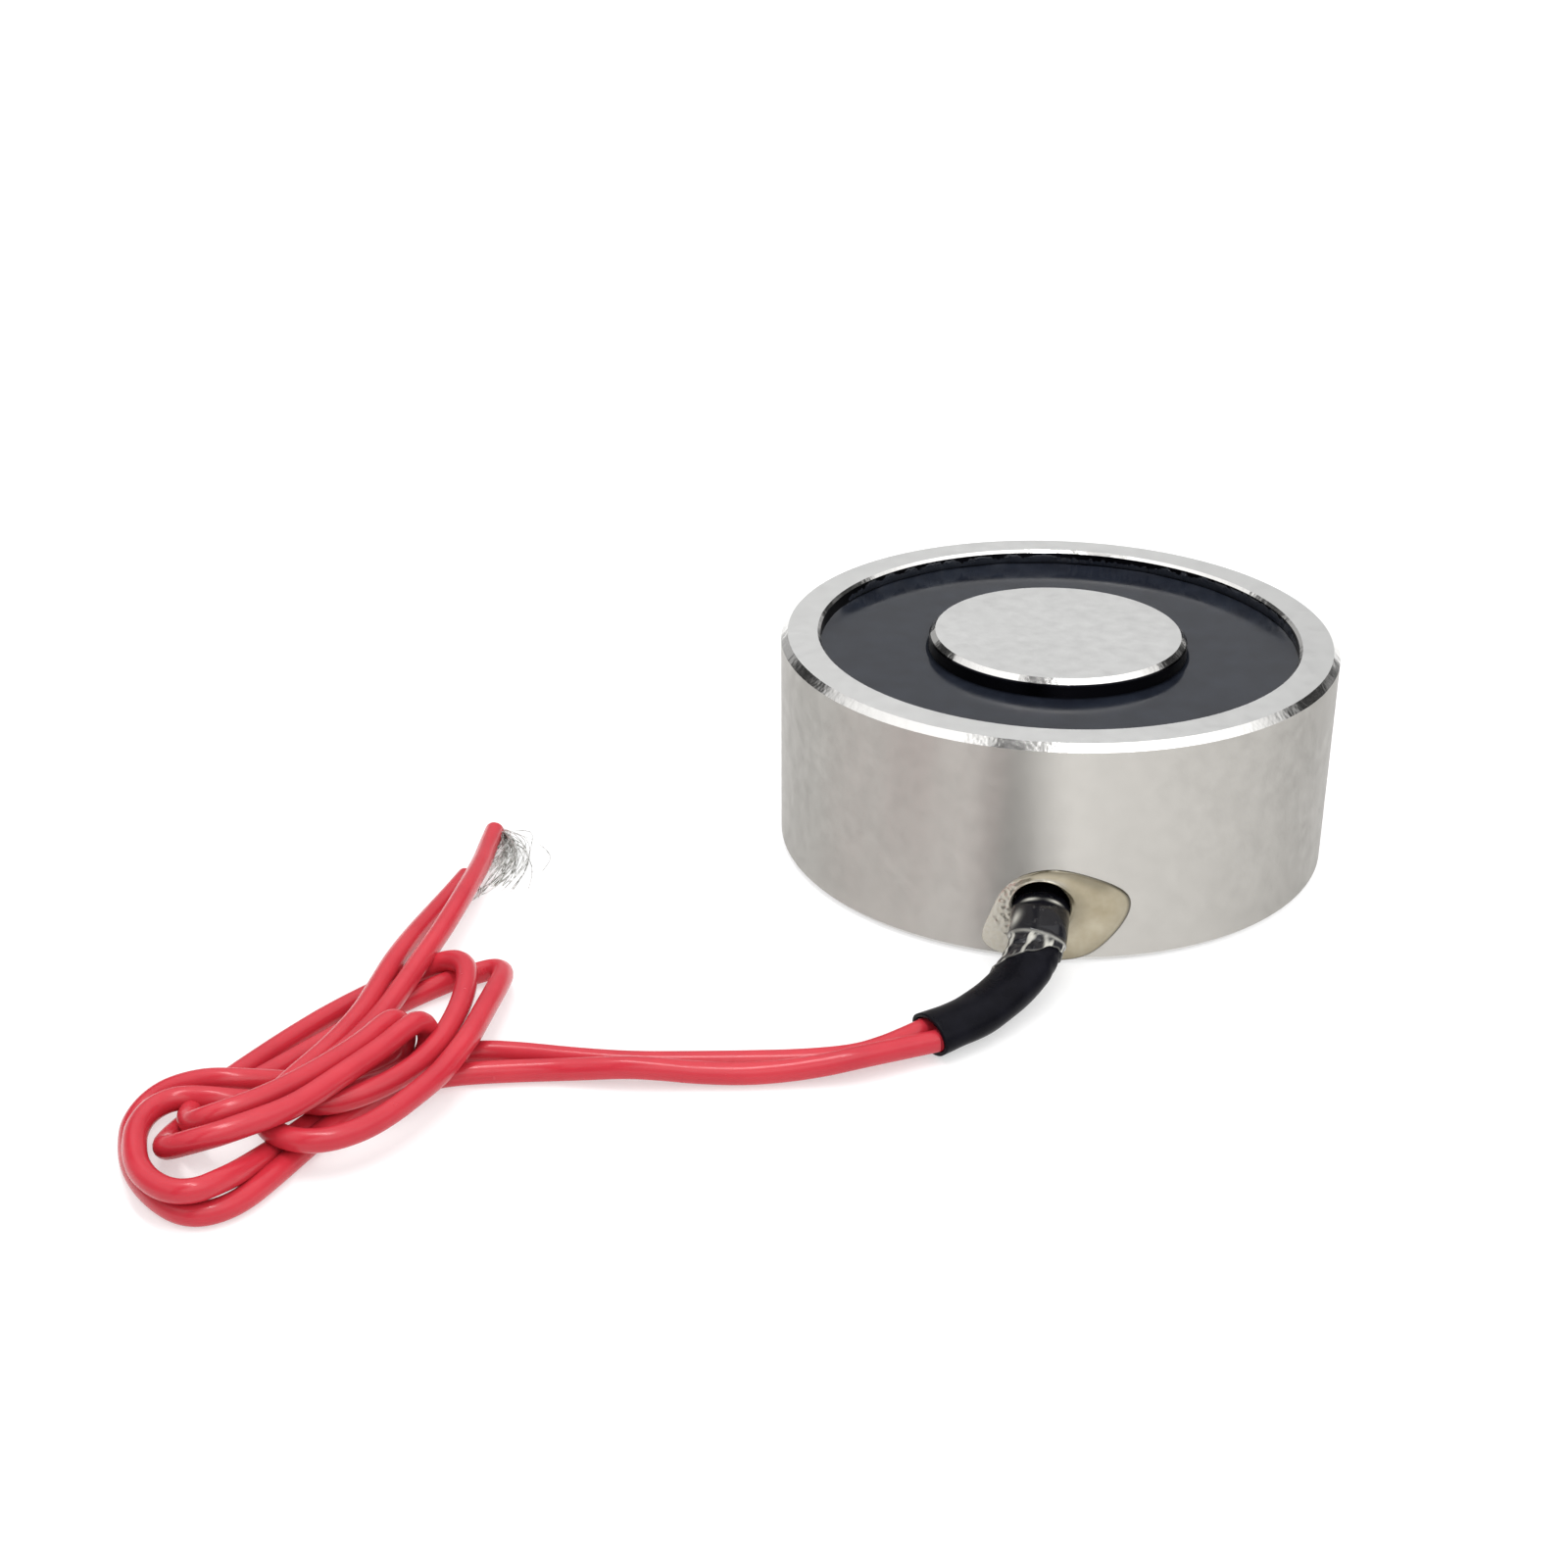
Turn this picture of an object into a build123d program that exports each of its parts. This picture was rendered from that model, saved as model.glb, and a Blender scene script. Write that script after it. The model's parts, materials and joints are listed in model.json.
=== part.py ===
from build123d import *
import math
import os

# Round holding electromagnet: a turned steel pot with a coil potted in its groove, and two
# insulated leads that leave through a hole low in the wall, in one short black sleeve.
# Frame: origin at the centre of the base, +Z up to the holding face, the leads leave along -Y.
# All sizes are millimetres.

# Pot, turned from one bar with its centre pole
POT_DIAMETER = 50.0
POT_HEIGHT = 20.0
POT_WALL = 3.55
POT_FLOOR = 4.0
GROOVE_WIDTH = 9.85
RIM_CHAMFER = 0.6
GROOVE_EDGE_CHAMFER = 0.25
POLE_CHAMFER = 0.55
BASE_CHAMFER = 0.5

# Threaded mounting hole, blind, in the centre of the base: M5, drawn at its core diameter
THREAD_CORE_DIAMETER = 4.2
THREAD_DEPTH = 8.0
THREAD_MOUTH_CHAMFER = 0.5
DRILL_POINT_ANGLE = 118.0

# Lead hole, drilled radially through the wall and a little way into the groove
EXIT_HOLE_DIAMETER = 5.0
EXIT_HOLE_HEIGHT = 5.2
EXIT_HOLE_RUN_IN = 1.9

# Free width between the bobbin's flanges and the groove's wall, where leads and joints lie
LEAD_CHANNEL_WIDTH = 2.85

# Bobbin, moulded in one piece, standing on the floor of the groove
BOBBIN_CLEARANCE = 0.15
BOBBIN_TUBE_WALL = 0.8
BOBBIN_HEIGHT = 13.4
FLANGE_THICKNESS = 0.8
FLANGE_ROUNDING = 0.2
WIRE_SLOT_WIDTH = 1.0
WIRE_SLOT_FROM_TUBE = 0.3

# Copper winding and its wrap of tape
WINDING_SHORT_OF_FLANGE = 0.75
TAPE_THICKNESS = 0.2
MAGNET_WIRE_DIAMETER = 0.4

# Potting resin: its surface lies below the holding face and climbs a little at both walls.
# Smears of it cling to the groove's wall on one side: angle from +X, half width, thickness
RESIN_RECESS = 1.35
RESIN_CLIMB = 0.4
RESIN_CLIMB_WIDTH = 1.5
RESIN_SHORT_OF_HOLE_MOUTH = 0.8
RESIN_SMEARS = (
    (14.0, 0.9, 0.18), (23.0, 1.1, 0.26), (32.5, 0.8, 0.22), (39.5, 1.2, 0.32),
    (46.0, 0.9, 0.24), (56.5, 1.0, 0.36),
)

# Leads: two stranded hook-up wires, side by side through the hole
LEAD_DIAMETER = 1.8
LEAD_SPACING = 1.9
LEAD_BEND_INSIDE = 0.45
LEAD_SPREAD = 1.15
LEAD_SPREAD_INSIDE = 1.5
LEAD_CHANNEL_ANGLES = (12.0, 24.0, 30.0)

# Solder joints between leads and magnet wire, in insulating sleeves
JOINT_DIAMETER = 1.2
JOINT_LENGTH = 3.2
JOINT_SLEEVE_WALL = 0.25
JOINT_SLEEVE_CLEARANCE = 0.04
JOINT_SLEEVE_OVERLAP = 1.6
JOINT_SLEEVE_PAST_JOINT = 0.5
JOINT_SLEEVE_TO_WALL = 0.56
TAP_ANGLE = 58.0

# Black sleeve over both leads, oval, from the groove's wall to its open end on the table.
# Its bends and mouth as (sideways, out from the pot's wall, height)
SLEEVE_WIDTH = 4.4
SLEEVE_HEIGHT = 3.0
SLEEVE_WALL = 0.3
SLEEVE_INNER_GAP = 0.05
SLEEVE_BENDS = ((0.0, 1.3, 4.6), (-0.5, 5.4, 3.0), (-3.0, 10.2, 1.9), (-5.4, 13.3, 1.65))
SLEEVE_MOUTH = (-8.0, 15.3, 1.53)

# Second, short skin of sleeve where it leaves the hole and turns down
COLLAR_WALL = 0.2
COLLAR_INSIDE = 1.2
COLLAR_OUTSIDE = 3.9

# Film of clear amber glue on the wall round the hole: corners as (arc length, height)
GLUE_THICKNESS = 0.14
GLUE_OUTLINE = (
    (-4.7, 0.9), (-5.0, 2.2), (-4.0, 4.6), (-3.3, 6.8), (-1.6, 8.4), (1.2, 8.9),
    (4.0, 8.1), (6.3, 7.1), (7.6, 5.9), (7.3, 4.2), (5.6, 1.6), (3.9, 0.3), (0.8, 0.15),
)
GLUE_CORNER_RADIUS = 0.45

# Free stretch of both leads from the sleeve's mouth to the hank: middle line of the pair
RUN_POINTS = (
    (-10.6, -42.3, 1.35), (-14.4, -43.9, 0.95), (-19.4, -45.5, 0.9), (-26.4, -46.5, 0.9),
    (-34.2, -47.3, 0.9),
)

# Hank of both leads, as the outer form of its loose turns: a low heap and a bundle over it
HANK_SIDE_X = -41.0
HANK_BACK_Y = -34.2
HANK_OUTLINE = (
    (HANK_SIDE_X, HANK_BACK_Y), (-55.0, HANK_BACK_Y), (-62.2, -50.0), (-66.9, -57.5),
    (-66.9, -66.0), (-61.0, -70.6), (-53.5, -70.6), (HANK_SIDE_X, -54.0),
)
HANK_CORNER_RADIUS = 2.0
HANK_HEAP_HEIGHT = 4.6
HANK_BUNDLE_HEIGHT = 6.4
HANK_BUNDLE_ENDS = ((-59.3, -63.2), (-46.6, -46.8))
HANK_BUNDLE_WIDTH = 6.0
HANK_ROUNDING = 0.8

# Tails: from the hank's back to the bared ends
TAIL_1_POINTS = (
    (-53.2, HANK_BACK_Y, 0.9), (-53.2, -30.4, 0.9), (-52.8, -25.8, 0.9), (-52.0, -21.6, 0.9),
    (-50.9, -18.2, 0.9),
)
TAIL_2_POINTS = (
    (-50.2, HANK_BACK_Y, 2.8), (-50.2, -30.0, 2.8), (-50.0, -25.0, 2.9), (-50.1, -19.6, 2.9),
    (-50.4, -15.2, 2.4), (-50.7, -11.8, 1.3), (-50.9, -9.2, 0.9),
)

# Bared strands: a stub of bare core at the tail's end, with thin strands that fan out of it
CORE_DIAMETER = 0.95
CORE_STUB = 1.1
STRAND_DIAMETER = 0.2
STRAND_COUNT = 7
STRAND_LENGTH = 6.0
STRAND_FIRST_TURN = -12.0
STRAND_FAN = 95.0

# Shares that shape the arc at each corner of a cord's tube
ARC_SHARE = 0.45
LEAST_TURN = 1e-3

# Number of level ovals that a sleeve's skin is drawn through
OVAL_SECTIONS = 25


def groove_radius():
    """Radius of the groove's outer wall."""
    return POT_DIAMETER / 2 - POT_WALL


def pole_radius():
    """Radius of the centre pole, the groove's inner wall."""
    return groove_radius() - GROOVE_WIDTH


def flange_radius():
    """Radius of the bobbin's flanges."""
    return groove_radius() - LEAD_CHANNEL_WIDTH


def joint_sleeve_bore():
    """Bore of the sleeves over the joints, which slide over a lead."""
    return LEAD_DIAMETER + 2 * JOINT_SLEEVE_CLEARANCE


def joint_sleeve_diameter():
    """Outside of the sleeves over the joints."""
    return joint_sleeve_bore() + 2 * JOINT_SLEEVE_WALL


def channel_radius():
    """Radius on which the leads and joints lie, close to the groove's wall."""
    return groove_radius() - JOINT_SLEEVE_TO_WALL - joint_sleeve_diameter() / 2


def resin_level():
    """Height of the resin's surface in the middle of the groove."""
    return POT_HEIGHT - RESIN_RECESS


def winding_radii():
    """Inner and outer radius of the copper."""
    inner = pole_radius() + BOBBIN_CLEARANCE + BOBBIN_TUBE_WALL
    outer = flange_radius() - WINDING_SHORT_OF_FLANGE
    return inner, outer


def winding_span():
    """Lower and upper end of the copper, between the flanges."""
    return POT_FLOOR + FLANGE_THICKNESS, POT_FLOOR + BOBBIN_HEIGHT - FLANGE_THICKNESS


def sleeve_start():
    """Middle of the sleeve's inner end, just inside the groove's wall."""
    return (0.0, -(groove_radius() + SLEEVE_INNER_GAP), EXIT_HOLE_HEIGHT)


def sleeve_route():
    """Middle line of the sleeve, from its inner end to its mouth."""
    wall = POT_DIAMETER / 2
    outside = [(x, -(wall + out), z) for x, out, z in (*SLEEVE_BENDS, SLEEVE_MOUTH)]
    return [sleeve_start(), *outside]


def run_route():
    """Middle line of the pair of leads, from the sleeve's mouth to the hank's side."""
    last = RUN_POINTS[-1]
    return [sleeve_route()[-1], *RUN_POINTS, (HANK_SIDE_X, last[1], last[2])]


def ring(inner, outer, bottom, top):
    """Plain ring about Z."""
    height = top - bottom
    body = Cylinder(outer, height) - Cylinder(inner, height)
    return Pos(0, 0, (bottom + top) / 2) * body


def turned(profile):
    """Solid of revolution from closed (radius, height) corners."""
    outline = Polyline(*[(r, 0, z) for r, z in profile], close=True)
    return revolve(make_face(outline), Axis.Z)


def corner_radii(points):
    """Radius of each corner's arc: as large as its two runs allow."""
    radii = []
    for before, corner, after in zip(points, points[1:], points[2:]):
        run_in = Vector(corner) - Vector(before)
        run_out = Vector(after) - Vector(corner)
        half_turn = math.radians(run_in.get_angle(run_out)) / 2
        shorter = min(run_in.length, run_out.length)
        radii.append(ARC_SHARE * shorter / max(math.tan(half_turn), LEAST_TURN))
    return radii


def cord_path(points):
    """Straight runs joined by tangent arcs."""
    return FilletPolyline(*points, radius=corner_radii(points))


def cross_plane(path, share=0.0):
    """Plane across a path at a share of its length, its X level."""
    along = path % share
    return Plane(origin=path @ share, x_dir=Vector(0, 0, 1).cross(along), z_dir=along)


def tube(points, diameter, name=None):
    """Round solid along a route. With a name, its radii and volume are printed."""
    path = cord_path(points)
    solid = sweep(cross_plane(path) * Circle(diameter / 2), path=path)
    if name:
        radii = ", ".join(f"{r:.1f}" for r in corner_radii(points))
        share = solid.volume / (math.pi * diameter ** 2 / 4 * path.length)
        print(f"{name}: length {path.length:.1f}, radii {radii}, volume share {share:.4f}")
    return solid


def beside(points, offset):
    """The route moved level to one side by offset, mitred at its corners."""
    moved = []
    for i, point in enumerate(points):
        here = Vector(point)
        ways = []
        if i > 0:
            ways.append(here - Vector(points[i - 1]))
        if i < len(points) - 1:
            ways.append(Vector(points[i + 1]) - here)
        sides = [Vector(-way.Y, way.X, 0).normalized() for way in ways]
        middle = sum(sides, Vector(0, 0, 0)).normalized()
        shifted = here + middle * (offset / middle.dot(sides[0]))
        moved.append((shifted.X, shifted.Y, shifted.Z))
    return moved


def in_channel(angle, height=EXIT_HOLE_HEIGHT, inward=0.0):
    """Point in the lead channel or inward of it, its angle counted from the exit towards +X."""
    turn = math.radians(angle)
    radius = channel_radius() - inward
    return (radius * math.sin(turn), -radius * math.cos(turn), height)


def inner_route(side):
    """One lead's middle line, from its joint round the channel and through the sleeve."""
    in_sleeve = beside(sleeve_route(), side * LEAD_SPACING / 2)
    x, y, z = in_sleeve[0]
    channel = [in_channel(side * angle) for angle in reversed(LEAD_CHANNEL_ANGLES)]
    spread = (x + side * LEAD_SPREAD, y + LEAD_SPREAD_INSIDE, z)
    inward = (Vector(in_sleeve[0]) - Vector(in_sleeve[1])).normalized()
    bend = Vector(in_sleeve[0]) + inward * LEAD_BEND_INSIDE
    return [*channel, spread, (bend.X, bend.Y, bend.Z), *in_sleeve[1:]]


def joint_plane(side):
    """Plane at the end of a lead's insulation, looking along its last run."""
    route = inner_route(side)
    along = Vector(route[0]) - Vector(route[1])
    return Plane(origin=route[0], x_dir=(0, 0, 1), z_dir=along)


def rod(plane, diameter, start, end):
    """Straight round bar along a plane's normal, between two distances from it."""
    return extrude(plane.offset(start) * Circle(diameter / 2), end - start, dir=plane.z_dir)


def make_pot_body():
    """Turned pot with its pole, the blind thread and the lead hole."""
    outer = POT_DIAMETER / 2
    pole = pole_radius()
    groove = groove_radius()
    pot = turned([
        (0, 0),
        (outer - BASE_CHAMFER, 0),
        (outer, BASE_CHAMFER),
        (outer, POT_HEIGHT - RIM_CHAMFER),
        (outer - RIM_CHAMFER, POT_HEIGHT),
        (groove + GROOVE_EDGE_CHAMFER, POT_HEIGHT),
        (groove, POT_HEIGHT - GROOVE_EDGE_CHAMFER),
        (groove, POT_FLOOR),
        (pole, POT_FLOOR),
        (pole, POT_HEIGHT - POLE_CHAMFER),
        (pole - POLE_CHAMFER, POT_HEIGHT),
        (0, POT_HEIGHT),
    ])
    core = THREAD_CORE_DIAMETER / 2
    point = core / math.tan(math.radians(DRILL_POINT_ANGLE / 2))
    thread_hole = turned([
        (0, 0),
        (core + THREAD_MOUTH_CHAMFER, 0),
        (core, THREAD_MOUTH_CHAMFER),
        (core, THREAD_DEPTH),
        (0, THREAD_DEPTH + point),
    ])
    return pot - thread_hole - lead_hole_bar(POT_DIAMETER / 2 + 1)


def lead_hole_bar(outer_end):
    """Bar that fills the lead hole's drilling, from its end in the groove out to outer_end."""
    inner_end = groove_radius() - EXIT_HOLE_RUN_IN
    length = outer_end - inner_end
    bar = Rot(90, 0, 0) * Cylinder(EXIT_HOLE_DIAMETER / 2, length)
    return Pos(0, -(inner_end + length / 2), EXIT_HOLE_HEIGHT) * bar


def make_bobbin():
    """Moulded spool: a tube with a flange at each end, slotted where the first turn comes out."""
    bore = pole_radius() + BOBBIN_CLEARANCE
    barrel = bore + BOBBIN_TUBE_WALL
    flange = flange_radius()
    top = POT_FLOOR + BOBBIN_HEIGHT
    spool = turned([
        (bore, POT_FLOOR),
        (flange, POT_FLOOR),
        (flange, POT_FLOOR + FLANGE_THICKNESS),
        (barrel, POT_FLOOR + FLANGE_THICKNESS),
        (barrel, top - FLANGE_THICKNESS),
        (flange, top - FLANGE_THICKNESS),
        (flange, top),
        (bore, top),
    ])
    rims = [e for e in spool.edges() if e.geom_type == GeomType.CIRCLE and abs(e.radius - flange) < 1e-6]
    inner_end = barrel + WIRE_SLOT_FROM_TUBE
    length = flange - inner_end + 1
    slot = Box(WIRE_SLOT_WIDTH, length, 2 * FLANGE_THICKNESS)
    placed = Rot(0, 0, -TAP_ANGLE) * Pos(0, -(inner_end + length / 2), POT_FLOOR) * slot
    return fillet(rims, FLANGE_ROUNDING) - placed


def make_coil_winding():
    """Enamelled copper, wound between the flanges."""
    inner, outer = winding_radii()
    return ring(inner, outer, *winding_span())


def make_coil_tape(finish_wire):
    """Wrap of tape round the copper, with a slit where the last turn comes out."""
    outer = winding_radii()[1]
    return ring(outer, outer + TAPE_THICKNESS, *winding_span()) - finish_wire


def magnet_wire_start(side):
    """End of a joint, where the magnet wire leaves it, and the next point straight on."""
    plane = joint_plane(side)
    leave = plane.origin + plane.z_dir * JOINT_LENGTH
    ahead = leave + plane.z_dir * MAGNET_WIRE_DIAMETER * 4
    return [(p.X, p.Y, p.Z) for p in (leave, ahead)]


def make_finish_wire(side):
    """Outer end of the winding: from its joint round to the copper's outer surface."""
    inward = channel_radius() - winding_radii()[1] - MAGNET_WIRE_DIAMETER / 2
    height = EXIT_HOLE_HEIGHT + MAGNET_WIRE_DIAMETER
    route = magnet_wire_start(side)
    route += [in_channel(side * (TAP_ANGLE - 5), height), in_channel(side * TAP_ANGLE, height, inward)]
    return tube(route, MAGNET_WIRE_DIAMETER)


def make_start_wire(side):
    """Inner end of the winding: from its joint down and through the flange's slot."""
    inward = channel_radius() - winding_radii()[0] - 1
    height = POT_FLOOR + FLANGE_THICKNESS - MAGNET_WIRE_DIAMETER / 2
    angle = side * TAP_ANGLE
    route = magnet_wire_start(side)
    route += [
        in_channel(angle * 0.95, height + MAGNET_WIRE_DIAMETER),
        in_channel(angle, height, 1),
        in_channel(angle, height, inward),
    ]
    return tube(route, MAGNET_WIRE_DIAMETER)


def make_solder_joint(side):
    """Lead's bare core and the magnet wire's end, wetted into one slim joint."""
    joint = rod(joint_plane(side), JOINT_DIAMETER, 0, JOINT_LENGTH)
    rims = [e for e in joint.edges() if e.geom_type == GeomType.CIRCLE]
    return fillet(rims, JOINT_DIAMETER / 4)


def make_joint_sleeve(side):
    """Insulating sleeve pushed over the joint and the end of the lead."""
    plane = joint_plane(side)
    start = -JOINT_SLEEVE_OVERLAP
    end = JOINT_LENGTH + JOINT_SLEEVE_PAST_JOINT
    return rod(plane, joint_sleeve_diameter(), start, end) - rod(plane, joint_sleeve_bore(), start, end)


def oval_bar(path, width, height):
    """Solid bar of oval section along a path, its wide side kept level."""
    count = OVAL_SECTIONS - 1
    sections = [cross_plane(path, i / count) * Ellipse(width / 2, height / 2) for i in range(count + 1)]
    return sweep(sections=Sketch() + sections, path=path, multisection=True)


def make_sleeve():
    """Oval sleeve over both leads."""
    path = cord_path(sleeve_route())
    bore = oval_bar(path, SLEEVE_WIDTH - 2 * SLEEVE_WALL, SLEEVE_HEIGHT - 2 * SLEEVE_WALL)
    return oval_bar(path, SLEEVE_WIDTH, SLEEVE_HEIGHT) - bore


def make_collar():
    """Short second skin that follows the sleeve out of the hole and round its first bend."""
    path = cord_path(sleeve_route())
    skin = oval_bar(path, SLEEVE_WIDTH + 2 * COLLAR_WALL, SLEEVE_HEIGHT + 2 * COLLAR_WALL)
    skin = skin - oval_bar(path, SLEEVE_WIDTH, SLEEVE_HEIGHT)
    start = POT_DIAMETER / 2 - COLLAR_INSIDE
    length = COLLAR_INSIDE + COLLAR_OUTSIDE
    reach = Pos(0, -(start + length / 2), 0) * Box(POT_DIAMETER, length, POT_DIAMETER)
    return skin & reach


def make_exit_glue():
    """Film of glue on the pot's wall, its outline run out over the round wall."""
    wall = POT_DIAMETER / 2
    corners = [(wall * math.sin(arc / wall), height) for arc, height in GLUE_OUTLINE]
    outline = Plane.XZ * fillet(Polygon(*corners, align=None).vertices(), GLUE_CORNER_RADIUS)
    column = extrude(outline, 2 * wall, dir=(0, -1, 0))
    film = ring(wall, wall + GLUE_THICKNESS, 0, POT_HEIGHT)
    return (film & column) - lead_hole_bar(wall + 1)


def make_potting_resin(buried):
    """Resin in the groove and the lead hole, cut to fit round everything buried in it."""
    pole = pole_radius()
    groove = groove_radius()
    level = resin_level()
    climbs = []
    for wall, inward in ((groove, -1), (pole, 1)):
        heights = [level + RESIN_CLIMB, level + RESIN_CLIMB / 4, level]
        reach = [wall, wall + inward * RESIN_CLIMB_WIDTH / 2, wall + inward * RESIN_CLIMB_WIDTH]
        climbs.append([(r, 0, z) for r, z in zip(reach, heights)])
    at_groove, at_pole = climbs
    walls = Polyline(at_pole[0], (pole, 0, POT_FLOOR), (groove, 0, POT_FLOOR), at_groove[0])
    middle = Line(at_groove[2], at_pole[2])
    section = Curve() + [walls, ThreePointArc(*at_groove), middle, ThreePointArc(*at_pole)]
    filling = revolve(make_face(section), Axis.Z)
    in_hole = lead_hole_bar(POT_DIAMETER / 2 - RESIN_SHORT_OF_HOLE_MOUTH)
    in_hole = in_hole - Pos(0, 0, POT_HEIGHT / 2) * Cylinder(groove - EXIT_HOLE_RUN_IN / 2, POT_HEIGHT)
    tape_radius = winding_radii()[1] + TAPE_THICKNESS
    spool_room = ring(pole, tape_radius, POT_FLOOR, POT_FLOOR + BOBBIN_HEIGHT)
    resin = (filling + in_hole + resin_smears()) - spool_room
    for piece in buried:
        resin = resin - piece
    return resin.solids().sort_by(SortBy.VOLUME)[-1]


def resin_smears():
    """Low smears of resin on the groove's wall, each a shallow cap of a ball, under the rim."""
    reach = groove_radius()
    inside = Pos(0, 0, POT_HEIGHT / 2) * Cylinder(reach, POT_HEIGHT - GROOVE_EDGE_CHAMFER * 2)
    smears = []
    for angle, half_width, thickness in RESIN_SMEARS:
        ball = (half_width ** 2 + thickness ** 2) / (2 * thickness)
        middle = Vector(reach + ball - thickness, 0, resin_level() + RESIN_CLIMB).rotate(Axis.Z, angle)
        smears.append(Pos(middle) * Sphere(ball) & inside)
    return smears


def make_lead_inner(side):
    """One lead inside the pot and the sleeve, from its joint to the sleeve's mouth."""
    return tube(inner_route(side), LEAD_DIAMETER)


def make_lead_hank():
    """Outer form of the hank: low heap with the crossing bundle over it."""
    heap = fillet(Polygon(*HANK_OUTLINE, align=None).vertices(), HANK_CORNER_RADIUS)
    heap = extrude(heap, HANK_HEAP_HEIGHT)
    start, end = (Vector(*corner) for corner in HANK_BUNDLE_ENDS)
    along = end - start
    slot = SlotCenterToCenter(along.length, HANK_BUNDLE_WIDTH)
    placed = Pos((start + end) * 0.5) * Rot(0, 0, math.degrees(math.atan2(along.Y, along.X))) * slot
    bundle = extrude(placed, HANK_BUNDLE_HEIGHT)
    heap = fillet(heap.faces().sort_by(Axis.Z)[-1].edges(), HANK_ROUNDING)
    bundle = fillet(bundle.faces().sort_by(Axis.Z)[-1].edges(), HANK_ROUNDING * 2)
    return heap + bundle


def make_strands(tail, hand):
    """Bare core at a tail's end and its strands, splayed on the table to one side."""
    end = Vector(tail[-1])
    along = (end - Vector(tail[-2])).normalized()
    stub = extrude(Plane(origin=end, z_dir=along) * Circle(CORE_DIAMETER / 2), CORE_STUB)
    splayed = stub
    for strand in range(STRAND_COUNT):
        turn = STRAND_FIRST_TURN - STRAND_FAN * strand / (STRAND_COUNT - 1)
        level = along.rotate(Axis.Z, hand * turn)
        root = end + along * (CORE_STUB - STRAND_DIAMETER)
        drop = (STRAND_DIAMETER / 2 - root.Z) / STRAND_LENGTH
        way = Vector(level.X, level.Y, drop)
        length = STRAND_LENGTH * (1 - 0.07 * (strand % 3))
        splayed += extrude(Plane(origin=root, z_dir=way) * Circle(STRAND_DIAMETER / 2), length)
    return splayed


def build():
    """All nodes by name."""
    start_wire = make_start_wire(-1)
    finish_wire = make_finish_wire(1)
    nodes = {
        "pot_body": make_pot_body(),
        "bobbin": make_bobbin(),
        "coil_winding": make_coil_winding(),
        "coil_tape": make_coil_tape(finish_wire),
        "winding_start_wire": start_wire,
        "winding_finish_wire": finish_wire,
        "lead_sleeve": make_sleeve(),
        "sleeve_collar": make_collar(),
        "exit_glue": make_exit_glue(),
        "lead_hank": make_lead_hank(),
    }
    runs = {}
    for number, side in ((1, -1), (2, 1)):
        nodes[f"solder_joint_{number}"] = make_solder_joint(side)
        nodes[f"joint_sleeve_{number}"] = make_joint_sleeve(side)
        nodes[f"lead_{number}_inner"] = make_lead_inner(side)
        run = beside(run_route(), side * LEAD_SPACING / 2)
        nodes[f"lead_{number}_run"] = tube(run, LEAD_DIAMETER, f"lead_{number}_run")
    for number, tail in ((1, TAIL_1_POINTS), (2, TAIL_2_POINTS)):
        nodes[f"lead_{number}_tail"] = tube(tail, LEAD_DIAMETER, f"lead_{number}_tail")
        nodes[f"lead_{number}_strands"] = make_strands(tail, 1)
    buried = [
        nodes[name] for name in (
            "bobbin", "winding_start_wire", "winding_finish_wire", "lead_sleeve", "sleeve_collar",
            "solder_joint_1", "solder_joint_2", "joint_sleeve_1", "joint_sleeve_2",
            "lead_1_inner", "lead_2_inner",
        )
    ]
    nodes["potting_resin"] = make_potting_resin(buried)
    return nodes


os.makedirs("parts", exist_ok=True)
for node_name, node in build().items():
    export_step(node, f"parts/{node_name}.step")
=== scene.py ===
import json
import logging
import math
import random
from dataclasses import dataclass, field
from enum import Enum
from typing import Iterable, Sequence

import bmesh
import bpy
from mathutils import Matrix, Vector, noise

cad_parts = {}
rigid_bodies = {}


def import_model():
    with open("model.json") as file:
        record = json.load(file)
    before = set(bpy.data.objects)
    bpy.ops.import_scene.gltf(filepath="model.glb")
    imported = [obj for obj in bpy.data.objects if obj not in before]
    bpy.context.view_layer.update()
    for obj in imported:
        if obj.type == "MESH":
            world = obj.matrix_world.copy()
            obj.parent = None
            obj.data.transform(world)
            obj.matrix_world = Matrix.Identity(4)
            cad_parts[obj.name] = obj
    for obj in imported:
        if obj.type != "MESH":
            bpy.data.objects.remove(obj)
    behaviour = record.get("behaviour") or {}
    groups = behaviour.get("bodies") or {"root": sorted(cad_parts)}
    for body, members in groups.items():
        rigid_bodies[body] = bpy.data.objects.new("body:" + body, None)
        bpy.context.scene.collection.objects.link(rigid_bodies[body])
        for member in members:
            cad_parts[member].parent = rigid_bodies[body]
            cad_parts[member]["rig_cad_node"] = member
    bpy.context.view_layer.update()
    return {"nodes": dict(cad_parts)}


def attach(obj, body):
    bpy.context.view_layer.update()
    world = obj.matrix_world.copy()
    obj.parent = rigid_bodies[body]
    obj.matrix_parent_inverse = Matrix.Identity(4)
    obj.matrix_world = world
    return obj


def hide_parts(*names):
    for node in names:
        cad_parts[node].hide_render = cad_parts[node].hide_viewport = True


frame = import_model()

log = logging.getLogger("electromagnet")

Point = tuple[float, float, float]
Colour = tuple[float, float, float]

# Sizes in metres, as the CAD source has them. Only the resin's level is lower than there, by 0.27 mm.
POT_RADIUS = 0.025
POT_HEIGHT = 0.020
GROOVE_RADIUS = 0.02145
POLE_RADIUS = 0.0116
RESIN_LEVEL = 0.01838
EXIT_HEIGHT = 0.0052
EXIT_RADIUS = 0.0025
LEAD_DIAMETER = 0.0018

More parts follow.
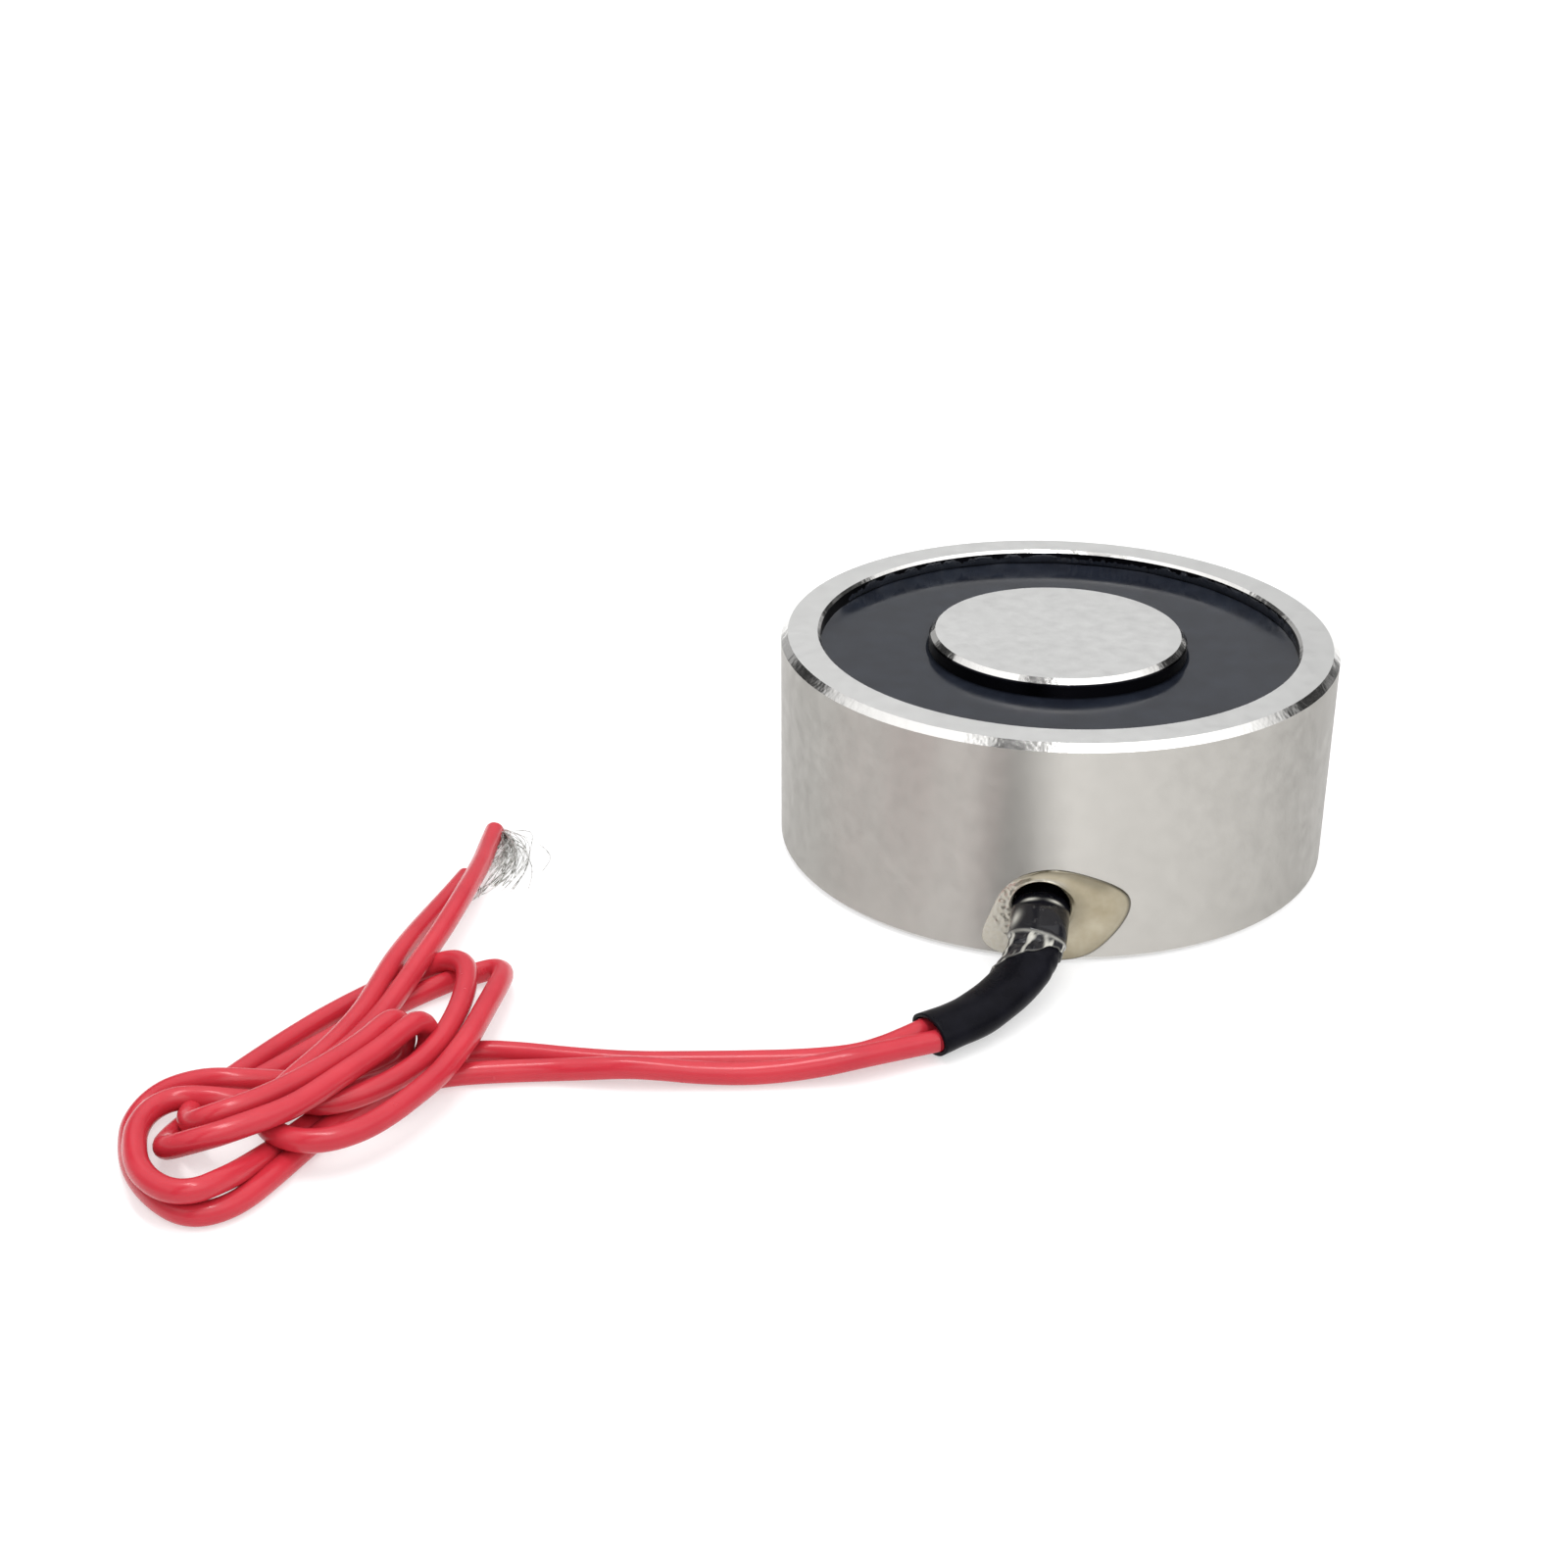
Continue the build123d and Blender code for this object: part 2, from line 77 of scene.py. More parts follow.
# Lead 1, the far wire, from the sleeve's mouth to its free end.
LEAD_1_POINTS: list[Point] = [
    (-0.00855, -0.0396, 0.00155), (-0.01, -0.0409, 0.0014), (-0.0115, -0.042, 0.0012),
    (-0.0136, -0.0432, 0.001), (-0.0174, -0.0442, 0.0009), (-0.0219, -0.045, 0.0009),
    (-0.0264, -0.0457, 0.0009), (-0.0308, -0.0463, 0.0009), (-0.0355, -0.0463, 0.0009),
    (-0.039, -0.0461, 0.0009), (-0.0423, -0.0462, 0.0009), (-0.0447, -0.047, 0.0009),
    (-0.0468, -0.0486, 0.0009), (-0.0486, -0.0509, 0.0009), (-0.0501, -0.0534, 0.0009),
    (-0.0516, -0.056, 0.0009), (-0.0528, -0.0585, 0.0009), (-0.0537, -0.0612, 0.0011),
    (-0.0543, -0.0638, 0.0017), (-0.0548, -0.0661, 0.0023), (-0.0555, -0.0678, 0.0027),
    (-0.0564, -0.069, 0.0028), (-0.0576, -0.0694, 0.0028), (-0.0589, -0.0692, 0.0028),
    (-0.0604, -0.0683, 0.0028), (-0.0618, -0.0668, 0.0028), (-0.0628, -0.0649, 0.0028),
    (-0.0635, -0.063, 0.0028), (-0.0637, -0.0612, 0.0028), (-0.0634, -0.0597, 0.0028),
    (-0.0626, -0.0586, 0.0028), (-0.0614, -0.0581, 0.0028), (-0.06, -0.058, 0.0028),
    (-0.0583, -0.0578, 0.0026), (-0.0567, -0.0569, 0.002), (-0.0552, -0.0556, 0.0013),
    (-0.0536, -0.0544, 0.0009), (-0.052, -0.0534, 0.0009), (-0.0504, -0.0524, 0.0009),
    (-0.0489, -0.0514, 0.0009), (-0.0477, -0.0502, 0.0009), (-0.0467, -0.0483, 0.0009),
    (-0.0462, -0.0474, 0.002), (-0.0462, -0.0474, 0.0035), (-0.0467, -0.0483, 0.0046),
    (-0.0474, -0.0499, 0.0046), (-0.0481, -0.0521, 0.0046), (-0.0491, -0.0543, 0.0046),
    (-0.0503, -0.0569, 0.0046), (-0.0517, -0.0599, 0.0046), (-0.0529, -0.0616, 0.0046),
    (-0.0548, -0.0634, 0.0046), (-0.0563, -0.0646, 0.0045), (-0.0576, -0.0652, 0.0043),
    (-0.059, -0.0653, 0.0038), (-0.0604, -0.0648, 0.003), (-0.0612, -0.0634, 0.0022),
    (-0.0616, -0.0616, 0.0015), (-0.0617, -0.0599, 0.001), (-0.0611, -0.0577, 0.0009),
    (-0.06, -0.0554, 0.0009), (-0.0586, -0.0529, 0.0009), (-0.0572, -0.0505, 0.0009),
    (-0.0558, -0.0481, 0.0009), (-0.0544, -0.0457, 0.0009), (-0.0532, -0.0435, 0.0009),
    (-0.0516, -0.0411, 0.0009), (-0.05, -0.0389, 0.0009), (-0.0488, -0.0374, 0.0009),
    (-0.0476, -0.036, 0.0009), (-0.0469, -0.0355, 0.0009), (-0.0458, -0.0348, 0.001),
    (-0.0446, -0.0345, 0.0013), (-0.0436, -0.0351, 0.0016), (-0.0431, -0.0367, 0.002),
    (-0.0429, -0.0395, 0.0025), (-0.0429, -0.0435, 0.0028), (-0.0429, -0.0473, 0.003),
    (-0.0433, -0.0503, 0.003), (-0.0438, -0.0531, 0.003), (-0.0448, -0.0558, 0.003),
    (-0.0459, -0.0582, 0.0029), (-0.0471, -0.06, 0.0028), (-0.0484, -0.0613, 0.0028),
    (-0.0497, -0.0621, 0.0028), (-0.0512, -0.0624, 0.0028), (-0.0528, -0.0621, 0.0028),
    (-0.0542, -0.0612, 0.0028), (-0.0551, -0.0598, 0.0028), (-0.0553, -0.058, 0.0028),
    (-0.0549, -0.0559, 0.0028), (-0.0542, -0.0534, 0.0028), (-0.0533, -0.0504, 0.0028),
    (-0.0527, -0.0474, 0.0028), (-0.0523, -0.0445, 0.0028), (-0.0523, -0.0406, 0.0027),
    (-0.0524, -0.0362, 0.0025), (-0.0524, -0.0309, 0.0018), (-0.0521, -0.0253, 0.0011),
    (-0.0516, -0.0212, 0.0009), (-0.0512, -0.0183, 0.0009),
]

# Lead 2, the near wire, from the sleeve's mouth to its free end.
LEAD_2_POINTS: list[Point] = [
    (-0.0074, -0.0411, 0.00155), (-0.0096, -0.0424, 0.0016), (-0.0114, -0.0436, 0.00175),
    (-0.0134, -0.0448, 0.0018), (-0.0156, -0.0455, 0.00145), (-0.0186, -0.0462, 0.0011),
    (-0.0217, -0.0468, 0.00095), (-0.0252, -0.0473, 0.0011), (-0.0278, -0.0477, 0.00145),
    (-0.0305, -0.048, 0.0016), (-0.0332, -0.0481, 0.0013), (-0.036, -0.0481, 0.00095),
    (-0.0386, -0.0485, 0.0009), (-0.0414, -0.0491, 0.0009), (-0.0439, -0.0498, 0.0009),
    (-0.0461, -0.0509, 0.0009), (-0.048, -0.0526, 0.0009), (-0.0495, -0.0549, 0.0009),
    (-0.0507, -0.0573, 0.0009), (-0.0515, -0.0595, 0.0009), (-0.0521, -0.0614, 0.0009),
    (-0.0527, -0.0633, 0.0009), (-0.0533, -0.0651, 0.0009), (-0.0539, -0.0667, 0.0009),
    (-0.0547, -0.068, 0.0009), (-0.0557, -0.0689, 0.0009), (-0.0568, -0.0693, 0.0009),
    (-0.0581, -0.0691, 0.0009), (-0.0594, -0.0684, 0.0009), (-0.0608, -0.0673, 0.0009),
    (-0.0621, -0.066, 0.0009), (-0.0632, -0.0646, 0.0009), (-0.0641, -0.063, 0.0009),
    (-0.0648, -0.0614, 0.0009), (-0.0653, -0.0598, 0.001), (-0.0653, -0.0584, 0.0012),
    (-0.0648, -0.0572, 0.0016), (-0.0638, -0.0564, 0.0021), (-0.0624, -0.0559, 0.0025),
    (-0.0608, -0.0556, 0.0028), (-0.0591, -0.0554, 0.0028), (-0.0574, -0.0547, 0.0024),
    (-0.0559, -0.0536, 0.0017), (-0.0543, -0.0526, 0.0011), (-0.0528, -0.0519, 0.0009),
    (-0.0513, -0.0512, 0.0009), (-0.05, -0.0504, 0.0009), (-0.0486, -0.0484, 0.0009),
    (-0.0481, -0.0475, 0.002), (-0.0481, -0.0475, 0.0036), (-0.0486, -0.0484, 0.0047),
    (-0.0492, -0.0499, 0.0047), (-0.0496, -0.0514, 0.0047), (-0.0506, -0.0537, 0.0047),
    (-0.0524, -0.057, 0.0047), (-0.0543, -0.0597, 0.0047), (-0.0557, -0.0612, 0.0047),
    (-0.057, -0.0622, 0.0046), (-0.0583, -0.0626, 0.0042), (-0.0594, -0.0622, 0.0035),
    (-0.0603, -0.0609, 0.0029), (-0.0609, -0.0591, 0.0022), (-0.0612, -0.0571, 0.0015),
    (-0.0611, -0.055, 0.001), (-0.0604, -0.0524, 0.0009), (-0.0593, -0.0498, 0.0009),
    (-0.0583, -0.0475, 0.0009), (-0.0573, -0.0454, 0.0009), (-0.0563, -0.0434, 0.0009),
    (-0.0549, -0.041, 0.0009), (-0.0533, -0.0386, 0.0009), (-0.0517, -0.0368, 0.001),
    (-0.0502, -0.0356, 0.0014), (-0.0487, -0.0351, 0.002), (-0.0472, -0.0356, 0.0026),
    (-0.046, -0.037, 0.0029), (-0.0453, -0.0394, 0.003), (-0.0449, -0.0423, 0.003),
    (-0.0448, -0.045, 0.003), (-0.0449, -0.0478, 0.003), (-0.0453, -0.0501, 0.003),
    (-0.0459, -0.0522, 0.003), (-0.0469, -0.0541, 0.003), (-0.0481, -0.0555, 0.0029),
    (-0.0494, -0.0566, 0.0028), (-0.0508, -0.0575, 0.0028), (-0.0522, -0.0577, 0.0028),
    (-0.0533, -0.0571, 0.0028), (-0.0537, -0.0559, 0.0028), (-0.0534, -0.0543, 0.0028),
    (-0.0527, -0.0524, 0.0028), (-0.0518, -0.0503, 0.0028), (-0.0511, -0.0473, 0.0028),
    (-0.0506, -0.0444, 0.0028), (-0.0503, -0.0407, 0.0028), (-0.0501, -0.0374, 0.0028),
    (-0.0499, -0.0343, 0.0028), (-0.0497, -0.0311, 0.0028), (-0.0496, -0.0274, 0.0028),
    (-0.0497, -0.023, 0.0025), (-0.0501, -0.0171, 0.0017), (-0.0507, -0.0124, 0.0011),
    (-0.051, -0.0091, 0.0009),
]

# Middle line of the black sleeve, from inside the exit hole to its open mouth.
SLEEVE_POINTS: list[Point] = [
    (0.0, -0.0226, 0.00490), (0.0, -0.0244, 0.00480), (0.0, -0.0258, 0.00468),
    (0.0, -0.0268, 0.00444), (-0.00010, -0.0282, 0.00392), (-0.00040, -0.0299, 0.00322),
    (-0.00100, -0.0316, 0.00272), (-0.00190, -0.0333, 0.00232), (-0.00300, -0.0350, 0.00198),
    (-0.0042, -0.0367, 0.00180), (-0.0054, -0.03815, 0.00170), (-0.0080, -0.0403, 0.00158),
]

# Outline of the glue on the wall: distance round the wall from the exit, and height.
GLUE_OUTLINE: list[tuple[float, float]] = [
    (-0.0047, 0.0009), (-0.0050, 0.0022), (-0.0041, 0.0044), (-0.0034, 0.0066), (-0.0016, 0.0083),
    (0.0012, 0.0090), (0.0040, 0.0082), (0.0062, 0.0073), (0.0077, 0.0061), (0.0075, 0.0042),
    (0.0057, 0.0018), (0.0038, 0.0003), (0.0008, 0.0001), (-0.0024, 0.0002),
]


class Slot(Enum):
    """The finishes, by the record's material slots; the sleeve's skin has the sleeve's."""

    STEEL = "plated_steel"
    RESIN = "potting_resin"
    SLEEVE = "sleeve_black"
    SKIN = "sleeve_skin"
    GLUE = "glue_amber"
    LEAD = "lead_red"
    STRAND = "tinned_strand"
    BOBBIN = "bobbin_plastic"
    COPPER = "copper"
    TAPE = "tape"
    SOLDER = "solder"
    JOINT = "joint_sleeving"

    @property
    def in_record(self) -> str:
        """The record's slot for this finish."""
        return Slot.SLEEVE.value if self is Slot.SKIN else self.value


class NodeSheet:
    """A material's node tree, with short calls to add and join nodes."""

    def __init__(self, name: str) -> None:
        """Starts a material that holds one Principled shader and its output.

        Args:
            name: The material's name.
        """
        self.material = bpy.data.materials.new(name)
        self.material.use_nodes = True
        self.tree = self.material.node_tree
        self.tree.nodes.clear()
        self.shader = self.tree.nodes.new("ShaderNodeBsdfPrincipled")
        self.output = self.tree.nodes.new("ShaderNodeOutputMaterial")
        self.join(self.shader, 0, self.output, "Surface")

    def add(self, kind: str, **values: object) -> bpy.types.Node:
        """Adds a node.

        Args:
            kind: The node's type without its ShaderNode prefix.
            **values: Attributes of the node by name.

        Returns:
            The new node.
        """
        node = self.tree.nodes.new("ShaderNode" + kind)
        for key, value in values.items():
            setattr(node, key, value)
        return node

    def join(self, start: bpy.types.Node, output: int | str, end: bpy.types.Node, socket: int | str) -> None:
        """Links one node's output to another node's input.

        Args:
            start: The node that gives the value.
            output: Its output's name or number.
            end: The node that takes the value.
            socket: Its input's name or number.
        """
        self.tree.links.new(start.outputs[output], end.inputs[socket])

    def set(self, **values: object) -> None:
        """Sets constants on the Principled shader's own sockets.

        Args:
            **values: Socket names with underscores for spaces, and their values.
        """
        for key, value in values.items():
            self.shader.inputs[key.replace("_", " ")].default_value = value

    def place(self, scale: Sequence[float] = (1.0, 1.0, 1.0)) -> bpy.types.Node:
        """Adds object coordinates stretched by a scale.

        Args:
            scale: How much each axis is stretched.

        Returns:
            The Mapping node, whose output 0 is the place.
        """
        coords = self.add("TexCoord")
        mapping = self.add("Mapping")
        mapping.inputs["Scale"].default_value = scale
        self.join(coords, "Object", mapping, "Vector")
        return mapping

    def noise(self, place: bpy.types.Node, scale: float, detail: float = 4.0,
              roughness: float = 0.55) -> bpy.types.Node:
        """Adds a noise texture.

        Args:
            place: The node whose output 0 is the place.
            scale: Noise scale, in waves a metre of the place.
            detail: Octaves.
            roughness: How strong the finer octaves are.

        Returns:
            The noise node.
        """
        node = self.add("TexNoise")
        node.inputs["Scale"].default_value = scale
        node.inputs["Detail"].default_value = detail
        node.inputs["Roughness"].default_value = roughness
        self.join(place, 0, node, "Vector")
        return node

    def ramp(self, source: bpy.types.Node, output: int | str,
             stops: Sequence[tuple[float, Sequence[float]]]) -> bpy.types.Node:
        """Adds a colour ramp.

        Args:
            source: The node that gives the factor.
            output: Its output.
            stops: Places from 0 to 1 and their colours, three or four numbers.

        Returns:
            The ramp node.
        """
        node = self.add("ValToRGB")
        band = node.color_ramp
        while len(band.elements) < len(stops):
            band.elements.new(0.5)
        for element, (position, colour) in zip(band.elements, stops):
            element.position = position
            element.color = (*colour, 1.0)[:4]
        self.join(source, output, node, 0)
        return node

    def span(self, source: bpy.types.Node, output: int | str, low: float, high: float,
             start: float = 0.0, end: float = 1.0) -> bpy.types.Node:
        """Adds a map range node that turns start..end into low..high.

        Args:
            source: The node that gives the value.
            output: Its output.
            low: Result at start.
            high: Result at end.
            start: Lowest input.
            end: Highest input.

        Returns:
            The map range node.
        """
        node = self.add("MapRange")
        node.inputs["From Min"].default_value = start
        node.inputs["From Max"].default_value = end
        node.inputs["To Min"].default_value = low
        node.inputs["To Max"].default_value = high
        self.join(source, output, node, 0)
        return node

    def pair(self, operation: str, first: bpy.types.Node, output: int | str,
             second: bpy.types.Node) -> bpy.types.Node:
        """Adds a Math node of two values.

        Args:
            operation: What it does with them.
            first: The node that gives the first value.
            output: That node's output.
            second: The node whose output 0 is the second value.

        Returns:
            The Math node.
        """
        node = self.add("Math", operation=operation)
        self.join(first, output, node, 0)
        self.join(second, 0, node, 1)
        return node

    def cover(self, below: bpy.types.Node, output: int | str, colour: Colour,
              share: bpy.types.Node, share_output: int | str) -> bpy.types.Node:
        """Adds a plain colour over another colour.

        Args:
            below: The node that gives the colour below.
            output: That node's output.
            colour: The colour on top.
            share: The node that says how much of the top shows.
            share_output: That node's output.

        Returns:
            The Mix node, whose output 2 is the colour.
        """
        node = self.add("Mix", data_type="RGBA")
        self.join(share, share_output, node, "Factor")
        self.join(below, output, node, 6)
        node.inputs[7].default_value = (*colour, 1.0)
        return node

    def bump(self, source: bpy.types.Node, output: int | str, strength: float, distance: float,
             below: bpy.types.Node | None = None) -> bpy.types.Node:
        """Adds a bump, on top of another where one is given, and joins it to the shader.

        Args:
            source: The node that gives the height.
            output: Its output.
            strength: From 0 to 1.
            distance: Height in metres.
            below: An earlier bump that this one adds to.

        Returns:
            The bump node.
        """
        node = self.add("Bump")
        node.inputs["Strength"].default_value = strength
        node.inputs["Distance"].default_value = distance
        self.join(source, output, node, "Height")
        if below is not None:
            self.join(below, 0, node, "Normal")
        self.join(node, 0, self.shader, "Normal")
        return node


@dataclass(frozen=True)
class PlatedSteel:
    """Nickel plate on turned steel: brushed side, satin flat faces painted darker as painted shade, chamfers
    painted brighter as a painted highlight, and the walls above the resin painted black as painted shade and
    reflection, which stands also for resin in the groove.
    """

    side: Colour = (0.59, 0.57, 0.535)
    # Painted highlight: the chamfers' brighter grey stands for the light they catch.
    edge: Colour = (0.80, 0.79, 0.77)
    # Painted shade: the flat faces' darker grey of the same plating.
    face: Colour = (0.43, 0.43, 0.425)
    # Painted shade and reflection of the resin on the walls above it, also standing for resin film.
    stain_and_shade: Colour = (0.005, 0.005, 0.007)
    # Height from which the groove's walls take the painted shade.
    stain_and_shade_from: tuple[float, float] = (0.014, 0.016)
    side_gloss: float = 0.44
    edge_gloss: float = 0.14
    face_gloss: float = 0.35
    cloud_scale: float = 95.0
    grain_scale: float = 700.0
    ring_scale: float = 1800.0
    ring_strength: float = 0.12
    swell_scale: float = 420.0
    swell_strengths: tuple[float, float, float] = (0.05, 0.6, 0.04)

    def facing(self, sheet: NodeSheet) -> bpy.types.Node:
        """Adds how far the surface looks up, from 0 on the side through 0.7 on a chamfer to 1.

        Args:
            sheet: The material's sheet.

        Returns:
            A Math node that gives it.
        """
        surface = sheet.add("NewGeometry")
        parts = sheet.add("SeparateXYZ")
        sheet.join(surface, "Normal", parts, 0)
        size = sheet.add("Math", operation="ABSOLUTE")
        sheet.join(parts, "Z", size, 0)
        return size

    def by_facing(self, sheet: NodeSheet, facing: bpy.types.Node, side: Colour, edge: Colour,
                  face: Colour) -> bpy.types.Node:
        """Adds a colour for each of the three kinds of surface.

        Args:
            sheet: The material's sheet.
            facing: The node from facing().
            side: On the turned side and other upright walls.
            edge: On the chamfers.
            face: On the flat faces.

        Returns:
            The ramp node.
        """
        return sheet.ramp(facing, 0, [(0.35, side), (0.5, edge), (0.85, edge), (0.97, face)])

    def stained_and_shaded(self, sheet: NodeSheet, facing: bpy.types.Node) -> bpy.types.Node:
        """Adds where the steel is painted black as painted shade and reflection of the resin: the groove's
        walls, where it stands also for resin film, and the foot of the pole's chamfer.

        Args:
            sheet: The material's sheet.
            facing: The node from facing().

        Returns:
            A Math node that gives 1 there.
        """
        radius = sheet.add("VectorMath", operation="LENGTH")
        sheet.join(sheet.place((1.0, 1.0, 0.0)), 0, radius, 0)
        height = sheet.add("SeparateXYZ")
        sheet.join(sheet.place(), 0, height, 0)
        in_groove = sheet.span(radius, "Value", 1.0, 0.0, GROOVE_RADIUS + 0.0001, GROOVE_RADIUS + 0.0003)
        upright = sheet.span(facing, 0, 1.0, 0.0, 0.3, 0.5)
        over_coil = sheet.span(height, "Z", 0.0, 1.0, *self.stain_and_shade_from)
        walls = sheet.pair("MULTIPLY", sheet.pair("MULTIPLY", in_groove, 0, upright), 0, over_coil)
        by_pole = sheet.span(radius, "Value", 1.0, 0.0, POLE_RADIUS + 0.0003, POLE_RADIUS + 0.0005)
        below = sheet.span(height, "Z", 1.0, 0.0, POT_HEIGHT - 0.00044, POT_HEIGHT - 0.00040)
        return sheet.pair("MAXIMUM", walls, 0, sheet.pair("MULTIPLY", by_pole, 0, below))

    def lay(self, sheet: NodeSheet, facing: bpy.types.Node) -> bpy.types.Node:
        """Adds the way of the turning marks: round the axis on the side, one way on the flat faces.

        Args:
            sheet: The material's sheet.
            facing: The node from facing().

        Returns:
            The node whose output 0 is the tangent.
        """
        outward = sheet.add("Mix", data_type="VECTOR")
        sheet.join(sheet.span(facing, 0, 0.0, 1.0, 0.85, 0.95), 0, outward, "Factor")
        sheet.join(sheet.place((1.0, 1.0, 0.0)), 0, outward, 4)
        outward.inputs[5].default_value = (0.0, -1.0, 0.0)
        tangent = sheet.add("VectorMath", operation="CROSS_PRODUCT")
        tangent.inputs[0].default_value = (0.0, 0.0, 1.0)
        sheet.join(outward, 1, tangent, 1)
        unit = sheet.add("VectorMath", operation="NORMALIZE")
        sheet.join(tangent, 0, unit, 0)
        return unit

    def build(self) -> bpy.types.Material:
        """Builds the material.

        Returns:
            The plated steel.
        """
        sheet = NodeSheet("plated_steel")
        facing = self.facing(sheet)
        cloud = sheet.noise(sheet.place((1.0, 1.0, 0.6)), self.cloud_scale, 4.0, 0.6)
        tone = sheet.add("Mix", data_type="RGBA", blend_type="MULTIPLY")
        tone.inputs["Factor"].default_value = 1.0
        # Base grey by facing, with a painted highlight on the chamfers and painted shade on the flat faces.
        sheet.join(self.by_facing(sheet, facing, self.side, self.edge, self.face), 0, tone, 6)
        sheet.join(sheet.ramp(cloud, 0, [(0.3, (0.95,) * 3), (0.7, (1.0,) * 3)]), 0, tone, 7)
        # Painted shade and reflection, with resin film, over the plating's grey.
        tint = sheet.cover(tone, 2, self.stain_and_shade, self.stained_and_shaded(sheet, facing), 0)
        sheet.join(tint, 2, sheet.shader, "Base Color")
        grey = [(gloss,) * 3 for gloss in (self.side_gloss, self.edge_gloss, self.face_gloss)]
        base = self.by_facing(sheet, facing, *grey)
        grain = sheet.noise(sheet.place(), self.grain_scale, 4.0, 0.6)
        gloss = sheet.pair("MULTIPLY", base, 0, sheet.span(grain, 0, 0.92, 1.08, 0.3, 0.7))
        sheet.join(gloss, 0, sheet.shader, "Roughness")
        rings = sheet.noise(sheet.place((0.03, 0.03, 1.0)), self.ring_scale, 3.0, 0.6)
        turned = sheet.bump(rings, 0, self.ring_strength, 0.00003)
        sheet.join(sheet.span(facing, 0, self.ring_strength, 0.0, 0.2, 0.5), 0, turned, "Strength")
        swell = sheet.noise(sheet.place((1.0, 1.0, 0.5)), self.swell_scale, 3.0, 0.6)
        dents = sheet.bump(swell, 0, 0.3, 0.00016, turned)
        strengths = [(strength,) * 3 for strength in self.swell_strengths]
        sheet.join(self.by_facing(sheet, facing, *strengths), 0, dents, "Strength")
        sheet.join(self.lay(sheet, facing), 0, sheet.shader, "Tangent")
        sheet.set(Metallic=1.0, Anisotropic=1.0, Anisotropic_Rotation=0.25)
        return sheet.material


@dataclass(frozen=True)
class BlackResin:
    """Glossy slate-black potting resin, slightly wavy, with fine dust in its skin."""

    deep: Colour = (0.009, 0.011, 0.017)
    dusty: Colour = (0.017, 0.021, 0.031)
    gloss: float = 0.14
    dust_scale: float = 420.0
    mottle_scale: float = 200.0
    wave_scale: float = 120.0

    def build(self) -> bpy.types.Material:
        """Builds the material.

        Returns:
            The resin.
        """
        sheet = NodeSheet("potting_resin")
        dust = sheet.noise(sheet.place(), self.dust_scale, 5.0, 0.6)
        tint = sheet.ramp(dust, 0, [(0.35, self.deep), (0.8, self.dusty)])
        sheet.join(tint, 0, sheet.shader, "Base Color")
        mottle = sheet.noise(sheet.place(), self.mottle_scale, 3.0, 0.6)
        gloss = sheet.span(mottle, 0, self.gloss * 0.75, self.gloss * 1.4, 0.3, 0.7)
        sheet.join(gloss, 0, sheet.shader, "Roughness")
        wave = sheet.noise(sheet.place(), self.wave_scale, 2.0, 0.4)
        swell = sheet.bump(wave, 0, 0.14, 0.0002)
        sheet.bump(dust, 0, 0.04, 0.00003, swell)
        sheet.set(Specular_IOR_Level=0.5)
        return sheet.material


@dataclass(frozen=True)
class Insulation:
    """Red extruded insulation: glossy, faintly translucent, softly uneven along its length."""

    name: str = "lead_red"
    bright: Colour = (0.55, 0.034, 0.051)
    shade: Colour = (0.48, 0.024, 0.040)
    gloss: tuple[float, float] = (0.20, 0.28)
    cloud_scale: float = 170.0
    scuff_scale: float = 800.0
    wave_scale: float = 240.0

    def build(self) -> bpy.types.Material:
        """Builds the material.

        Returns:
            The insulation.
        """
        sheet = NodeSheet(self.name)
        cloud = sheet.noise(sheet.place(), self.cloud_scale, 3.0, 0.55)
        tint = sheet.ramp(cloud, 0, [(0.3, self.shade), (0.7, self.bright)])
        sheet.join(tint, 0, sheet.shader, "Base Color")
        scuff = sheet.noise(sheet.place(), self.scuff_scale, 4.0, 0.6)
        gloss = sheet.span(scuff, 0, *self.gloss, 0.3, 0.75)
        sheet.join(gloss, 0, sheet.shader, "Roughness")
        wave = sheet.noise(sheet.place(), self.wave_scale, 2.0, 0.5)
        swell = sheet.bump(wave, 0, 0.12, 0.00012)
        sheet.bump(scuff, 0, 0.01, 0.00002, swell)
        sheet.set(Subsurface_Weight=0.15, Subsurface_Scale=0.0005)
        sheet.set(Subsurface_Radius=(1.0, 0.2, 0.16), Specular_IOR_Level=0.34)
        return sheet.material


@dataclass(frozen=True)
class ShrinkSleeving:
    """Black shrink sleeving: soft gloss, cloudy wear, small dents."""

    deep: Colour = (0.003, 0.003, 0.005)
    worn: Colour = (0.007, 0.007, 0.011)
    gloss: tuple[float, float] = (0.24, 0.36)
    cloud_scale: float = 420.0
    dent_scale: float = 620.0

    def build(self) -> bpy.types.Material:
        """Builds the material.

        Returns:
            The sleeving.
        """
        sheet = NodeSheet("sleeve_black")
        cloud = sheet.noise(sheet.place(), self.cloud_scale, 5.0, 0.6)
        tint = sheet.ramp(cloud, 0, [(0.35, self.deep), (0.8, self.worn)])
        sheet.join(tint, 0, sheet.shader, "Base Color")
        gloss = sheet.span(cloud, 0, *self.gloss, 0.3, 0.75)
        sheet.join(gloss, 0, sheet.shader, "Roughness")
        dent = sheet.noise(sheet.place(), self.dent_scale, 3.0, 0.5)
        sheet.bump(dent, 0, 0.18, 0.0001)
        sheet.set(Specular_IOR_Level=0.06)
        return sheet.material


